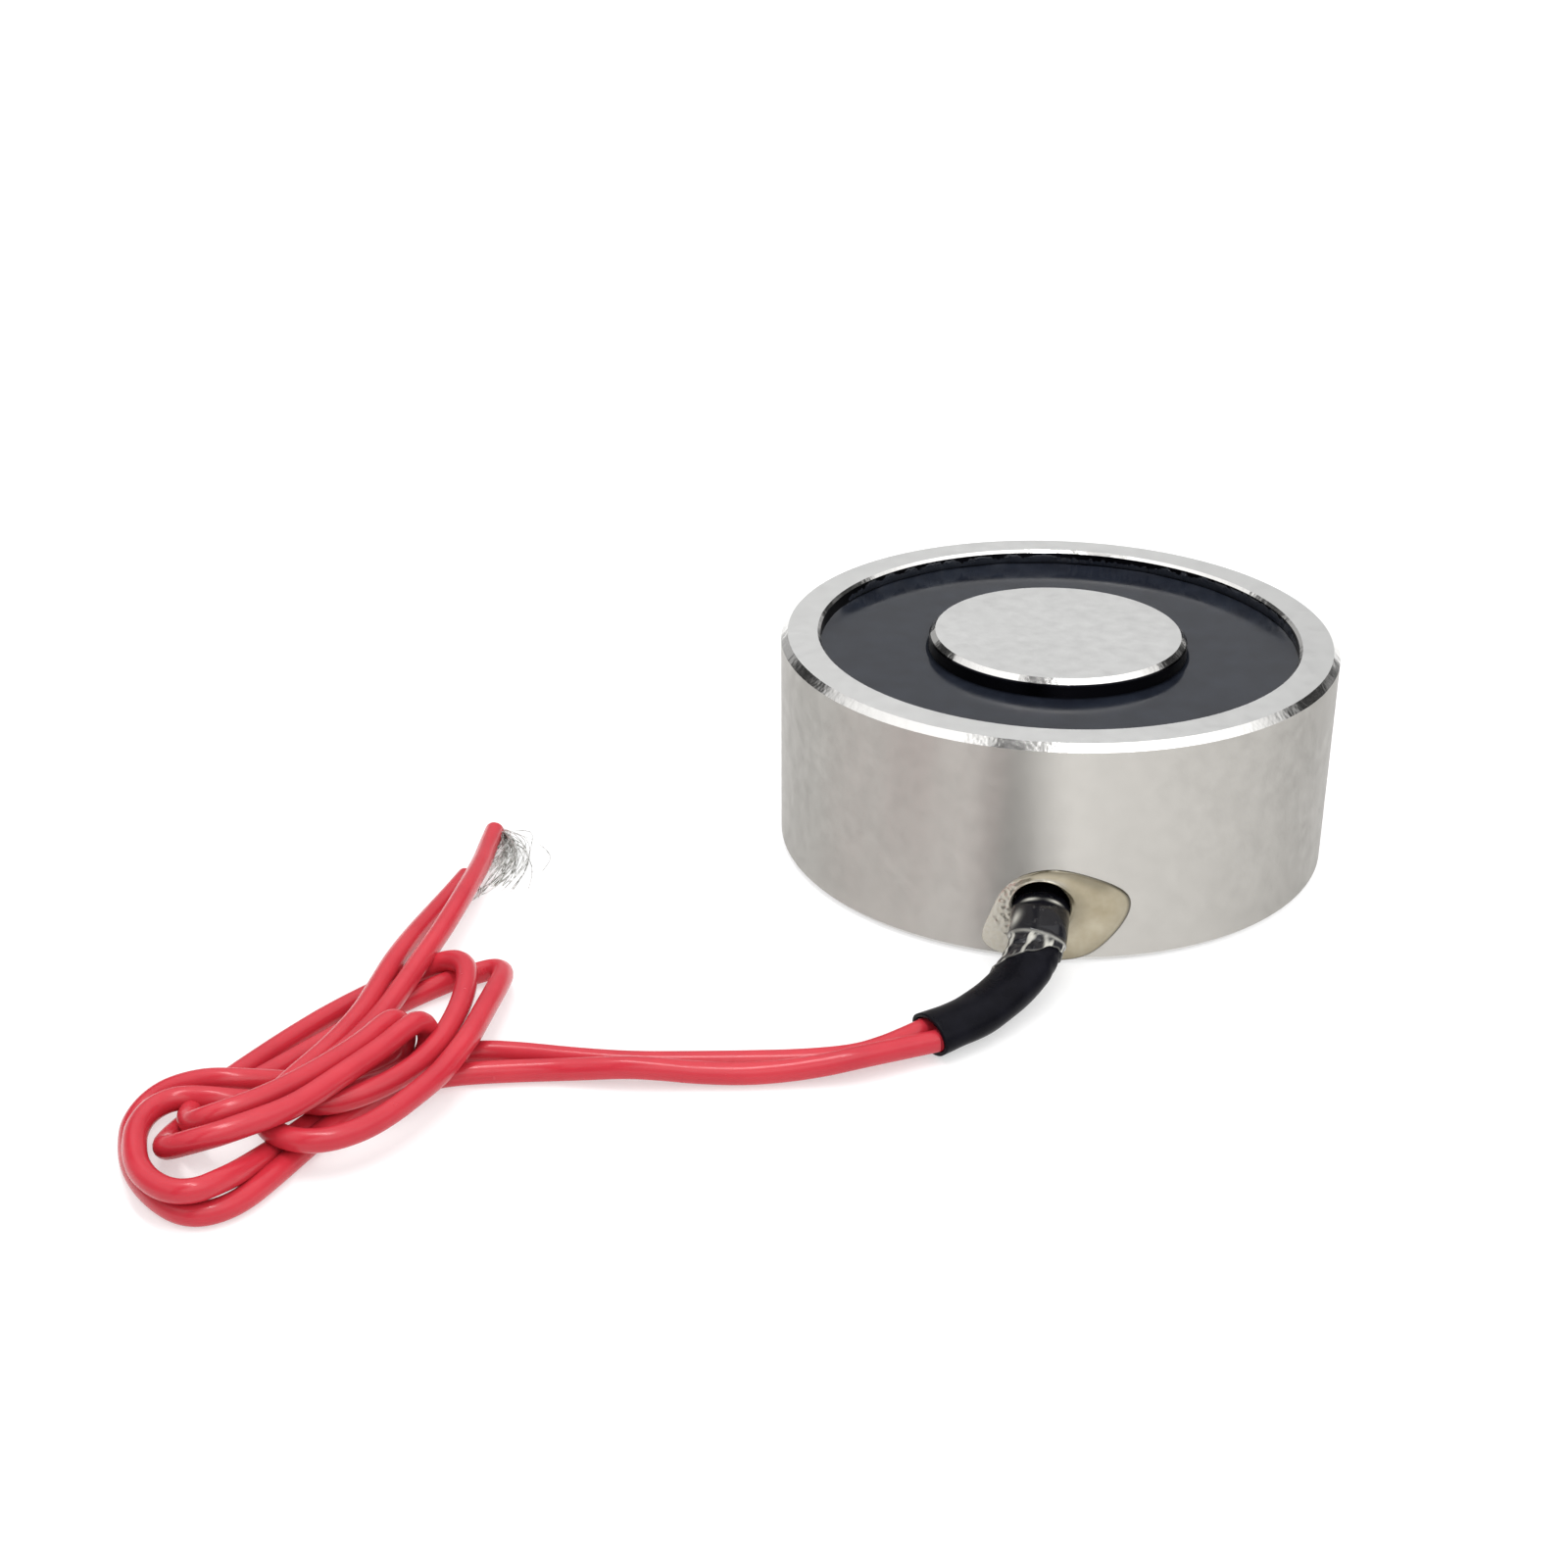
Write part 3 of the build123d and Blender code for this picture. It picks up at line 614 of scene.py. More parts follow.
@dataclass(frozen=True)
class ClearSkin:
    """The glossy second skin over the sleeve: black through it, milky where it folds, with painted highlights
    at its step, its end, its left side, near the hole and in streaks.
    """

    through: Colour = (0.006, 0.006, 0.009)
    # Pale colour of the milky folds and of the painted highlights.
    milky_and_painted_highlight: Colour = (0.62, 0.61, 0.55)
    gloss: tuple[float, float] = (0.06, 0.2)
    fold_scale: float = 1300.0
    crinkle_scale: float = 1700.0

    def build(self) -> bpy.types.Material:
        """Builds the material.

        Returns:
            The skin.
        """
        sheet = NodeSheet("sleeve_skin")
        # Painted highlights stored on the mesh, over milky patches where the film folds.
        painted_light = sheet.add("Attribute", attribute_name="painted_light")
        fold = sheet.noise(sheet.place((1.0, 1.0, 0.7)), self.fold_scale, 3.0, 0.6)
        patch = sheet.span(fold, 0, 0.0, 0.12, 0.64, 0.80)
        share = sheet.pair("MAXIMUM", painted_light, "Fac", patch)
        tint = sheet.ramp(share, 0, [(0.0, self.through), (1.0, self.milky_and_painted_highlight)])
        sheet.join(tint, 0, sheet.shader, "Base Color")
        gloss = sheet.span(fold, 0, *self.gloss, 0.3, 0.7)
        sheet.join(gloss, 0, sheet.shader, "Roughness")
        crinkle = sheet.noise(sheet.place((1.0, 1.0, 0.8)), self.crinkle_scale, 3.0, 0.55)
        sheet.bump(crinkle, 0, 0.45, 0.00012)
        sheet.set(Specular_IOR_Level=0.10, Coat_Weight=0.5, Coat_Roughness=0.03)
        return sheet.material


@dataclass(frozen=True)
class AmberGlue:
    """Clear amber glue on bright metal: khaki where thin, frothy on one side, with painted shade at its
    rounded rim, towards its edge, under its upper edge and right of the hole, and a painted highlight over
    the hole.
    """

    clear: Colour = (0.45, 0.40, 0.29)
    thick: Colour = (0.32, 0.27, 0.17)
    # Colour of the painted shade: the dark outline at the rounded rim and the shaded parts of the film.
    painted_light: Colour = (0.055, 0.045, 0.022)
    # Colour of the froth and of the painted highlight over the hole.
    milky_and_painted_highlight: Colour = (0.48, 0.455, 0.395)
    gloss: tuple[float, float] = (0.08, 0.2)
    cloud_scale: float = 260.0
    bubble_scale: float = 2600.0
    wave_scale: float = 380.0

    def build(self) -> bpy.types.Material:
        """Builds the material.

        Returns:
            The glue.
        """
        sheet = NodeSheet("glue_amber")
        cloud = sheet.noise(sheet.place(), self.cloud_scale, 4.0, 0.6)
        body = sheet.ramp(cloud, 0, [(0.32, self.thick), (0.62, self.clear)])
        # Froth on the left, and the painted highlight band over the hole.
        froth_and_painted_highlight = sheet.add("Attribute", attribute_name="froth_and_painted_highlight")
        bubble = sheet.noise(sheet.place(), self.bubble_scale, 3.0, 0.6)
        foam = sheet.pair("MULTIPLY", froth_and_painted_highlight, "Fac", sheet.span(bubble, 0, 0.65, 1.0, 0.35, 0.60))
        frothy = sheet.cover(body, 0, self.milky_and_painted_highlight, foam, 0)
        # Painted shade over the glue's colour.
        outlined = sheet.cover(frothy, 2, self.painted_light, sheet.add("Attribute", attribute_name="painted_light"), "Fac")
        sheet.join(outlined, 2, sheet.shader, "Base Color")
        wave = sheet.noise(sheet.place(), self.wave_scale, 2.0, 0.5)
        swell = sheet.bump(wave, 0, 0.35, 0.00022)
        beads = sheet.bump(bubble, 0, 0.3, 0.00008, swell)
        sheet.join(sheet.span(froth_and_painted_highlight, "Fac", 0.0, 0.3), 0, beads, "Strength")
        gloss = sheet.span(cloud, 0, *self.gloss, 0.3, 0.7)
        sheet.join(gloss, 0, sheet.shader, "Roughness")
        sheet.set(Metallic=0.55, Specular_IOR_Level=0.5, Coat_Weight=0.8, Coat_Roughness=0.05)
        return sheet.material


@dataclass(frozen=True)
class TinnedStrand:
    """Fine tinned copper strands, bright with a few tarnished ones."""

    bright: Colour = (0.86, 0.86, 0.84)
    tarnish: Colour = (0.34, 0.34, 0.31)
    gloss: tuple[float, float] = (0.2, 0.45)
    patch_scale: float = 1300.0

    def build(self) -> bpy.types.Material:
        """Builds the material.

        Returns:
            The tinned copper.
        """
        sheet = NodeSheet("tinned_strand")
        patch = sheet.noise(sheet.place(), self.patch_scale, 3.0, 0.6)
        tint = sheet.ramp(patch, 0, [(0.42, self.tarnish), (0.56, self.bright)])
        sheet.join(tint, 0, sheet.shader, "Base Color")
        gloss = sheet.span(patch, 0, *self.gloss, 0.3, 0.7)
        sheet.join(gloss, 0, sheet.shader, "Roughness")
        sheet.set(Metallic=0.9)
        return sheet.material


@dataclass(frozen=True)
class MouldedFinish:
    """A moulded, wound or cast finish for the pieces inside the pot: two tones, a grain and a gloss."""

    name: str
    pale: Colour
    dark: Colour
    grain: float = 900.0
    gloss: float = 0.45
    metallic: float = 0.0
    stretch: tuple[float, float, float] = (1.0, 1.0, 1.0)

    def build(self) -> bpy.types.Material:
        """Builds the material.

        Returns:
            The finish.
        """
        sheet = NodeSheet(self.name)
        grain = sheet.noise(sheet.place(self.stretch), self.grain, 4.0, 0.6)
        tint = sheet.ramp(grain, 0, [(0.3, self.dark), (0.7, self.pale)])
        sheet.join(tint, 0, sheet.shader, "Base Color")
        gloss = sheet.span(grain, 0, self.gloss * 0.8, self.gloss * 1.25, 0.3, 0.7)
        sheet.join(gloss, 0, sheet.shader, "Roughness")
        sheet.bump(grain, 0, 0.2, 0.00005)
        sheet.set(Metallic=self.metallic)
        return sheet.material


@dataclass
class Finishes:
    """Every material of the part, built once and found by its slot."""

    built: dict[Slot, bpy.types.Material] = field(default_factory=dict)

    def build(self) -> None:
        """Builds all the materials."""
        copper = MouldedFinish("copper", (0.78, 0.34, 0.15), (0.52, 0.20, 0.08), 2600.0, 0.3, 1.0,
                               stretch=(0.1, 0.1, 1.0))
        solder = MouldedFinish("solder", (0.62, 0.62, 0.63), (0.45, 0.45, 0.47), 1500.0, 0.3, 1.0)
        joint = MouldedFinish("joint_sleeving", (0.62, 0.60, 0.52), (0.50, 0.48, 0.40), 1200.0, 0.4)
        self.built = {
            Slot.STEEL: PlatedSteel().build(),
            Slot.RESIN: BlackResin().build(),
            Slot.SLEEVE: ShrinkSleeving().build(),
            Slot.SKIN: ClearSkin().build(),
            Slot.GLUE: AmberGlue().build(),
            Slot.LEAD: Insulation().build(),
            Slot.STRAND: TinnedStrand().build(),
            Slot.BOBBIN: MouldedFinish("bobbin_plastic", (0.72, 0.70, 0.64), (0.60, 0.58, 0.52)).build(),
            Slot.COPPER: copper.build(),
            Slot.TAPE: MouldedFinish("tape", (0.70, 0.55, 0.20), (0.55, 0.42, 0.14), 700.0, 0.35).build(),
            Slot.SOLDER: solder.build(),
            Slot.JOINT: joint.build(),
        }

    def dress(self, piece: bpy.types.Object, slot: Slot) -> None:
        """Gives a piece its only material.

        Args:
            piece: A curve, mesh or CAD node.
            slot: The slot.
        """
        piece.data.materials.clear()
        piece.data.materials.append(self.built[slot])


def link(name: str, data: bpy.types.ID) -> bpy.types.Object:
    """Makes an object of the data and puts it in the scene.

    Args:
        name: The object's name.
        data: A mesh or curve.

    Returns:
        The object.
    """
    made = bpy.data.objects.new(name, data)
    bpy.context.scene.collection.objects.link(made)
    return made


def spline_point(points: Sequence[Vector], place: float, closed: bool = False) -> Vector:
    """Finds a point on the smooth curve that runs along a list of control points.

    Args:
        points: The control points.
        place: From 0 at the first to 1 at the last, or once round where it is closed.
        closed: Whether the last is joined to the first.

    Returns:
        The point on the curve.
    """
    count = len(points)
    spans = count if closed else count - 1
    here = min(int(place * spans), spans - 1)
    part = place * spans - here
    total = Vector([0.0] * len(points[0]))
    weights = (
        (1 - part) ** 3,
        3 * part ** 3 - 6 * part ** 2 + 4,
        -3 * part ** 3 + 3 * part ** 2 + 3 * part + 1,
        part ** 3,
    )
    for number, weight in enumerate(weights):
        index = here + number - 1
        if closed:
            point = points[index % count]
        elif index < 0:
            point = points[0] * 2 - points[1]
        elif index >= count:
            point = points[-1] * 2 - points[-2]
        else:
            point = points[index]
        total = total + point * (weight / 6)
    return total


def smooth_step(value: float, low: float, high: float) -> float:
    """Eases from 0 at low to 1 at high.

    Args:
        value: The value.
        low: Where the step starts.
        high: Where it ends.

    Returns:
        From 0 to 1.
    """
    share = min(max((value - low) / (high - low), 0.0), 1.0)
    return share * share * (3 - 2 * share)


def bell(distance: float, width: float) -> float:
    """Finds the height of a soft bump, 1 in its middle.

    Args:
        distance: How far from the middle.
        width: Where it has fallen to about a third.

    Returns:
        From 0 to 1.
    """
    return math.exp(-(distance / width) ** 2)


def noise_round(angle: float, waves: float, place: float) -> float:
    """Finds a noise that joins up round a section.

    Args:
        angle: Round the section.
        waves: How fast it changes round it.
        place: Along the noise's own third axis.

    Returns:
        From about -1 to 1.
    """
    return noise.noise(Vector((math.cos(angle) * waves, math.sin(angle) * waves, place)))


def ring_faces(rings: int, sides: int, looped: bool) -> list[tuple[int, ...]]:
    """Joins rings of vertices into faces, with caps at both ends or the last joined to the first.

    Args:
        rings: How many rings.
        sides: Vertices in each.
        looped: Whether the last ring joins the first.

    Returns:
        The faces.
    """
    faces: list[tuple[int, ...]] = []
    for ring in range(rings if looped else rings - 1):
        low = ring * sides
        high = (ring + 1) % rings * sides
        for side in range(sides):
            beside = (side + 1) % sides
            faces.append((low + side, low + beside, high + beside, high + side))
    if not looped:
        faces.append(tuple(reversed(range(sides))))
        faces.append(tuple((rings - 1) * sides + side for side in range(sides)))
    return faces


def paint(piece: bpy.types.Object, name: str, values: Sequence[float]) -> None:
    """Stores one number a vertex for a material to read.

    Args:
        piece: A mesh object.
        name: The attribute's name.
        values: A number for each vertex.
    """
    piece.data.attributes.new(name, "FLOAT", "POINT").data.foreach_set("value", list(values))


def set_outward(piece: bpy.types.Object) -> None:
    """Turns all the faces of a closed mesh outward.

    Args:
        piece: A mesh object.
    """
    shape = bmesh.new()
    shape.from_mesh(piece.data)
    bmesh.ops.recalc_face_normals(shape, faces=shape.faces)
    shape.to_mesh(piece.data)
    shape.free()


def mesh_of(name: str, points: Iterable[Sequence[float]], faces: Iterable[Sequence[int]]) -> bpy.types.Object:
    """Makes a smooth-shaded mesh object.

    Args:
        name: The object's name.
        points: The vertices.
        faces: The faces, as numbers of vertices.

    Returns:
        The object.
    """
    mesh = bpy.data.meshes.new(name)
    mesh.from_pydata([tuple(p) for p in points], [], [tuple(f) for f in faces])
    mesh.polygons.foreach_set("use_smooth", [True] * len(mesh.polygons))
    mesh.update()
    return link(name, mesh)


@dataclass
class PhotoCamera:
    """The camera at the photograph's place, in the row frame."""

    place: Point = (0.00118, -0.18896, 0.09477)
    heading: float = 7.8895
    pitch: float = 25.675
    roll: float = -0.145
    lens: float = 51.132

    def build(self) -> None:
        """Makes the camera and gives it to the scene."""
        data = bpy.data.cameras.new("photo_camera")
        data.sensor_width = 36.0
        data.lens = self.lens
        data.clip_start = 0.005
        data.clip_end = 10.0
        camera = link("photo_camera", data)
        turn = Matrix.Rotation(math.radians(self.heading), 4, "Z")
        tilt = Matrix.Rotation(math.radians(90.0 - self.pitch), 4, "X")
        spin = Matrix.Rotation(math.radians(self.roll), 4, "Z")
        camera.matrix_world = Matrix.Translation(self.place) @ turn @ tilt @ spin
        bpy.context.scene.camera = camera


@dataclass
class Lead:
    """One insulated lead, from the sleeve's mouth through the hank to its bare end."""

    name: str
    points: list[Point]
    length: float
    stands_for: tuple[str, ...]
    diameter: float = LEAD_DIAMETER

    def build(self, finishes: Finishes, strands: bpy.types.Object) -> bpy.types.Object:
        """Args:
            finishes: The part's materials.
            strands: The bare strands at its end; not used.

        Returns:
            The lead.
        """
        curve = bpy.data.curves.new(self.name, "CURVE")
        curve.dimensions = "3D"
        spline = curve.splines.new("NURBS")
        spline.points.add(len(self.points) - 1)
        for knot, point in zip(spline.points, self.points):
            knot.co = (*point, 1.0)
        spline.order_u = 3
        spline.use_endpoint_u = True
        spline.resolution_u = 6
        curve.bevel_depth = self.diameter / 2
        curve.bevel_resolution = 6
        curve.use_fill_caps = True
        lead = link(self.name, curve)
        finishes.dress(lead, Slot.LEAD)
        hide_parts(*self.stands_for)
        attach(lead, "root")
        return lead


@dataclass
class BareStrands:
    """The fine tinned strands that stand out of a lead's end, splayed and bent back."""

    name: str
    root: Point
    lean: Point
    count: int
    reach: float
    spread: float
    seed: int
    stands_for: str
    fold: Point = (-0.10, -0.22, -0.05)
    thickness: float = 0.00007
    pieces: int = 11
    sides: int = 5
    scatter: tuple[tuple[float, float], ...] = ((0.0, 0.0007), (-0.0006, 0.0002), (-0.0004, 0.0004))

    def strand(self, dice: random.Random) -> list[Vector]:
        """Chooses one strand's line.

        Args:
            dice: The seeded random source.

        Returns:
            Points from inside the insulation's end to the strand's tip.
        """
        start = Vector(self.root) + Vector([dice.uniform(low, high) for low, high in self.scatter])
        lean = Vector(self.lean).normalized()
        side = Vector((dice.gauss(0, 0.6), dice.gauss(0, 1), dice.gauss(0, 0.6))) * self.spread
        heading = (lean + side).normalized()
        line = [start]
        step = self.reach * dice.uniform(0.35, 1.0) / self.pieces
        for _ in range(self.pieces):
            sway = Vector((dice.gauss(0, 0.10), dice.gauss(0, 0.10), dice.gauss(0, 0.08)))
            heading = (heading + sway + Vector(self.fold)).normalized()
            following = line[-1] + heading * step
            following.z = max(following.z, self.thickness)
            line.append(following)
        return line

    def build(self, finishes: Finishes) -> bpy.types.Object:
        """Makes all the strands as one mesh of thin tubes.

        Args:
            finishes: The part's materials.

        Returns:
            The strands.
        """
        dice = random.Random(self.seed)
        points: list[Vector] = []
        faces: list[tuple[int, ...]] = []
        for _ in range(self.count):
            add_tube(points, faces, self.strand(dice), self.thickness / 2, self.sides)
        made = mesh_of(self.name, points, faces)
        finishes.dress(made, Slot.STRAND)
        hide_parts(self.stands_for)
        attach(made, "root")
        return made


def add_tube(points: list[Vector], faces: list[tuple[int, ...]], line: Sequence[Vector], radius: float,
             sides: int) -> None:
    """Adds a thin closed tube along a line to lists of vertices and faces.

    Args:
        points: The vertices so far.
        faces: The faces so far.
        line: The tube's middle line.
        radius: The tube's radius.
        sides: Corners round it.
    """
    first = len(points)
    for number, centre in enumerate(line):
        ahead = line[min(number + 1, len(line) - 1)] - line[max(number - 1, 0)]
        across = ahead.cross(Vector((0.31, 0.17, 0.93))).normalized()
        upward = ahead.cross(across).normalized()
        for corner in range(sides):
            angle = math.tau * corner / sides
            points.append(centre + (across * math.cos(angle) + upward * math.sin(angle)) * radius)
    for number in range(len(line) - 1):
        low = first + number * sides
        for corner in range(sides):
            beside = (corner + 1) % sides
            faces.append((low + corner, low + beside, low + sides + beside, low + sides + corner))
    faces.append(tuple(first + corner for corner in reversed(range(sides))))
    faces.append(tuple(first + (len(line) - 1) * sides + corner for corner in range(sides)))


@dataclass
class Sleeve:
    """The oval black sleeve over both leads, with its bend at the hole, its wrinkles and its open mouth."""

    half_width: float = 0.0022
    half_height: float = 0.0015
    wall: float = 0.00028
    steps: int = 150
    sides: int = 56
    bore_depth: float = 0.22
    bore_steps: int = 12
    off_floor: float = 0.00003

    def section(self, place: float) -> tuple[Vector, Vector, Vector, float, float]:
        """Finds the sleeve's section at a place along it.

        Args:
            place: From 0 in the hole to 1 at the mouth.

        Returns:
            Its middle, its level axis, its other axis, and its half width and half height.
        """
        points = [Vector(point) for point in SLEEVE_POINTS]
        middle = spline_point(points, place)
        along = spline_point(points, min(place + 0.01, 1.0)) - spline_point(points, max(place - 0.01, 0.0))
        across = Vector((0.0, 0.0, 1.0)).cross(along).normalized()
        upward = along.cross(across).normalized()
        pinch = 1 - smooth_step(place, 0.12, 0.34)
        flare = smooth_step(place, 0.93, 1.0)
        wide = self.half_width + 0.00012 * flare
        high = self.half_height - 0.00008 * pinch + 0.00008 * flare
        return middle, across, upward, wide, high

    def crease(self, place: float, angle: float) -> float:
        """Finds how far a wrinkle lifts or sinks the skin.

        Args:
            place: From 0 in the hole to 1 at the mouth.
            angle: Round the section, 0 on its right and a quarter turn on top.

        Returns:
            The height in metres.
        """
        bend = smooth_step(place, 0.36, 0.40) * (1 - smooth_step(place, 0.46, 0.60))
        folds = math.sin(place * 95 + 1.2 * math.cos(angle) + 0.7 * math.sin(2 * angle))
        rough = noise_round(angle, 2.1, place * 26)
        slow = noise_round(angle, 1.2, place * 9 + 4)
        return (0.00003 * folds + 0.00008 * rough) * bend + 0.00006 * slow

    def point(self, place: float, angle: float, offset: float) -> Vector:
        """Finds a point on or near the sleeve's skin.

        Args:
            place: From 0 in the hole to 1 at the mouth.
            angle: Round the section.
            offset: How far outside the skin.

        Returns:
            The point.
        """
        middle, across, upward, wide, high = self.section(place)
        offset += self.crease(place, angle)
        found = middle + across * (math.cos(angle) * (wide + offset))
        found += upward * (math.sin(angle) * (high + offset))
        found.z = max(found.z, self.off_floor)
        return found

    def build(self, finishes: Finishes) -> bpy.types.Object:
        """Makes the sleeve with its wall and the bore that shows in its mouth.

        Args:
            finishes: The part's materials.

        Returns:
            The sleeve.
        """
        course = [(number / self.steps, 0.0) for number in range(self.steps + 1)]
        course += [(1.0, -self.wall * share) for share in (0.35, 0.65, 1.0)]
        depth = [1 - self.bore_depth * row / self.bore_steps for row in range(1, self.bore_steps + 1)]
        course += [(place, -self.wall) for place in depth]
        points = []
        for place, offset in course:
            for side in range(self.sides):
                points.append(self.point(place, math.tau * side / self.sides, offset))
        made = mesh_of("black_sleeve", points, ring_faces(len(course), self.sides, False))
        set_outward(made)
        finishes.dress(made, Slot.SLEEVE)
        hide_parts("lead_sleeve")
        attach(made, "root")
        return made


@dataclass
class SleeveSkin:
    """The glossy second skin: a smooth collar at the hole, then a crinkled clear end with an uneven edge."""

    sleeve: Sleeve
    start: float = 0.10
    step: float = 0.375
    reach: float = 0.53
    collar: float = 0.00024
    film: float = 0.00010
    buried: float = 0.00003
    # Where the two painted glints near the hole lie round the section.
    glint_angles: tuple[float, float] = (1.05, 1.95)
    rows: int = 110
    inner_rows: int = 20

    def edge(self, angle: float) -> float:
        """Finds where the skin ends on one side of the sleeve.

        Args:
            angle: Round the section.

        Returns:
            The place along the sleeve.
        """
        far_side = 0.5 - 0.5 * math.cos(angle - 0.15)
        return self.reach - 0.115 + 0.21 * far_side + 0.022 * noise_round(angle, 2.4, 3.0)

    def step_at(self, angle: float) -> float:
        """Finds where the thick collar steps down to the thin film; the step lies a little askew."""
        return self.step + 0.012 * math.sin(angle + 0.6)

    def lift(self, place: float, angle: float) -> float:
        """Finds the skin's height over the sleeve.

        Args:
            place: Along the sleeve.
            angle: Round the section.

        Returns:
            The height in metres.
        """
        step = self.step_at(angle)
        on_film = smooth_step(place, step - 0.006, step + 0.012)
        lip = bell(place - step, 0.010) * 0.00006
        crumple = noise_round(angle, 3.6, place * 34)
        strokes = noise_round(angle + place * 5, 6.0, place * 8)
        tucked = bell(place - self.edge(angle), 0.012) * 0.00005
        folds = (0.00007 * crumple + 0.00011 * max(strokes, 0.0)) * on_film
        return self.collar + (self.film - self.collar) * on_film + lip + folds + tucked

    def milky_and_painted_highlight(self, place: float, angle: float) -> float:
        """Finds where the skin is painted pale as painted highlights: a ring at its step, a line along its
        end, a crescent on its left, two glints near the hole and streaks on its upper side.

        Args:
            place: Along the sleeve.
            angle: Round the section.

        Returns:
            From 0, clear, to 1, a full painted highlight.
        """
        step = self.step_at(angle)
        ring = bell(place - step - 0.004, 0.0045) * 0.5
        end = bell(place - self.edge(angle), 0.004) * 0.16
        left = bell(angle - math.pi * 0.80, 0.22) * bell(place - 0.29 - 0.05 * (angle - 2.5), 0.05) * 0.75
        glints = sum(bell(angle - spot, 0.24) * bell(place - 0.165, 0.012) for spot in self.glint_angles)
        streak = noise_round(angle, 5.5, place * 12)
        film = smooth_step(place, step, step + 0.01) * smooth_step(math.sin(angle), -0.2, 0.3)
        return min(1.0, max(ring, end, left, glints, film * smooth_step(streak, 0.10, 0.42) * 0.8))

    def build(self, finishes: Finishes) -> bpy.types.Object:
        """Makes the skin as a closed shell over the sleeve.

        Args:
            finishes: The part's materials.

        Returns:
            The skin.
        """
        sides = self.sleeve.sides * 2
        course = [(row / self.rows, True) for row in range(self.rows + 1)]
        course += [(1 - row / self.inner_rows, False) for row in range(self.inner_rows + 1)]
        points, milk_and_painted_highlight = [], []
        for share, outside in course:
            for side in range(sides):
                angle = math.tau * side / sides
                place = self.start + (self.edge(angle) - self.start) * share
                height = self.lift(place, angle) if outside else -self.buried
                points.append(self.sleeve.point(place, angle, height))
                # Painted highlights for the skin's material.
                milk_and_painted_highlight.append(self.milky_and_painted_highlight(place, angle))
        made = mesh_of("sleeve_skin", points, ring_faces(len(course), sides, True))
        set_outward(made)
        paint(made, "painted_light", milk_and_painted_highlight)
        finishes.dress(made, Slot.SKIN)
        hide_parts("sleeve_collar")
        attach(made, "root")
        return made


@dataclass
class GluePatch:
    """The film of glue on the wall round the exit: clear with a rounded rim, and frothy on its left."""

    thickness: float = 0.00024
    buried: float = 0.00006
    hole_radius: float = EXIT_RADIUS - 0.00004
    off_floor: float = 0.00003
    steps: int = 220
    rows: int = 34

    def height(self, spot: Vector, share: float, up: float, left: float) -> float:
        """Finds the film's height over the wall.

        Args:
            spot: The place on the unrolled wall.
            share: From 0 at the hole to 1 at the outline.
            up: How far the spot lies above the hole's middle, from -1 to 1.
            left: How far it belongs to the frothy left, from 0 to 1.

        Returns:
            The height in metres.
        """
        grain = noise.noise(Vector((spot.x, spot.y, 0.0)) * 2900)
        swell = noise.noise(Vector((spot.x, spot.y, 0.01)) * 520)
        dome = math.sqrt(max(0.0, 1 - share ** (7 - 5.4 * left)))
        dome *= 0.55 + 0.45 * smooth_step(share, 0.0, 0.12)
        lip = 0.5 * bell(share - 0.10, 0.07) * smooth_step(up, 0.0, 0.8)
        return max(self.thickness * dome * (1 + 0.25 * swell + lip + left * (0.28 * grain - 0.45)), 0.0)

    def painted_light(self, spot: Vector, share: float, up: float) -> float:
        """Finds the glue's painted shade: a dark outline at its rim, darker towards its edge, under its upper
        edge and right of the hole.

        Args:
            spot: The place on the unrolled wall.
            share: From 0 at the hole to 1 at the outline.
            up: How far the spot lies above the hole's middle, from -1 to 1.

        Returns:
            From 0 to 1.
        """
        beside = 0.34 * (1 - smooth_step(share, 0.05, 0.4)) if spot.x > 0.001 else 0.0
        shade = 0.22 * smooth_step(share, 0.6, 0.95) + beside
        upper = smooth_step(up, 0.1, 0.45) * smooth_step(share, 0.45, 0.85) * 0.5
        return max(smooth_step(share, 0.91, 0.97), shade, upper)

    def build(self, finishes: Finishes) -> bpy.types.Object:
        """Makes the film as one closed ring-shaped shell.

        Args:
            finishes: The part's materials.

        Returns:
            The glue.
        """
        outline = [Vector(point) for point in GLUE_OUTLINE]
        heart = Vector((0.0, EXIT_HEIGHT))
        points, painted_light, froth_and_painted_highlight = [], [], []
        course = [(0.0, False)] + [(row / self.rows, True) for row in range(self.rows + 1)] + [(1.0, False)]
        for share, on_top in course:
            for step in range(self.steps):
                edge = spline_point(outline, step / self.steps, closed=True)
                ray = edge - heart
                inner = heart + ray.normalized() * self.hole_radius
                spot = inner.lerp(edge, share)
                left = smooth_step(-spot.x, 0.0006, 0.0026)
                up = ray.normalized().y
                out = POT_RADIUS + (self.height(spot, share, up, left) if on_top else -self.buried)
                turn = spot.x / POT_RADIUS
                level = max(spot.y, self.off_floor)
                points.append(Vector((out * math.sin(turn), -out * math.cos(turn), level)))
                # Painted shade of the clear glue, kept off the frothy left.
                painted_light.append(self.painted_light(spot, share, up) * (1 - left))
                # Froth on the left, and a painted highlight band just over the hole.
                froth_and_painted_highlight.append(max(left, bell(share - 0.20, 0.12) * smooth_step(up, 0.6, 0.95)))
        made = mesh_of("glue_film", points, ring_faces(len(course), self.steps, True))
        set_outward(made)
        paint(made, "painted_light", painted_light)
        paint(made, "froth_and_painted_highlight", froth_and_painted_highlight)
        finishes.dress(made, Slot.GLUE)
        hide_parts("exit_glue")
        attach(made, "root")
        return made


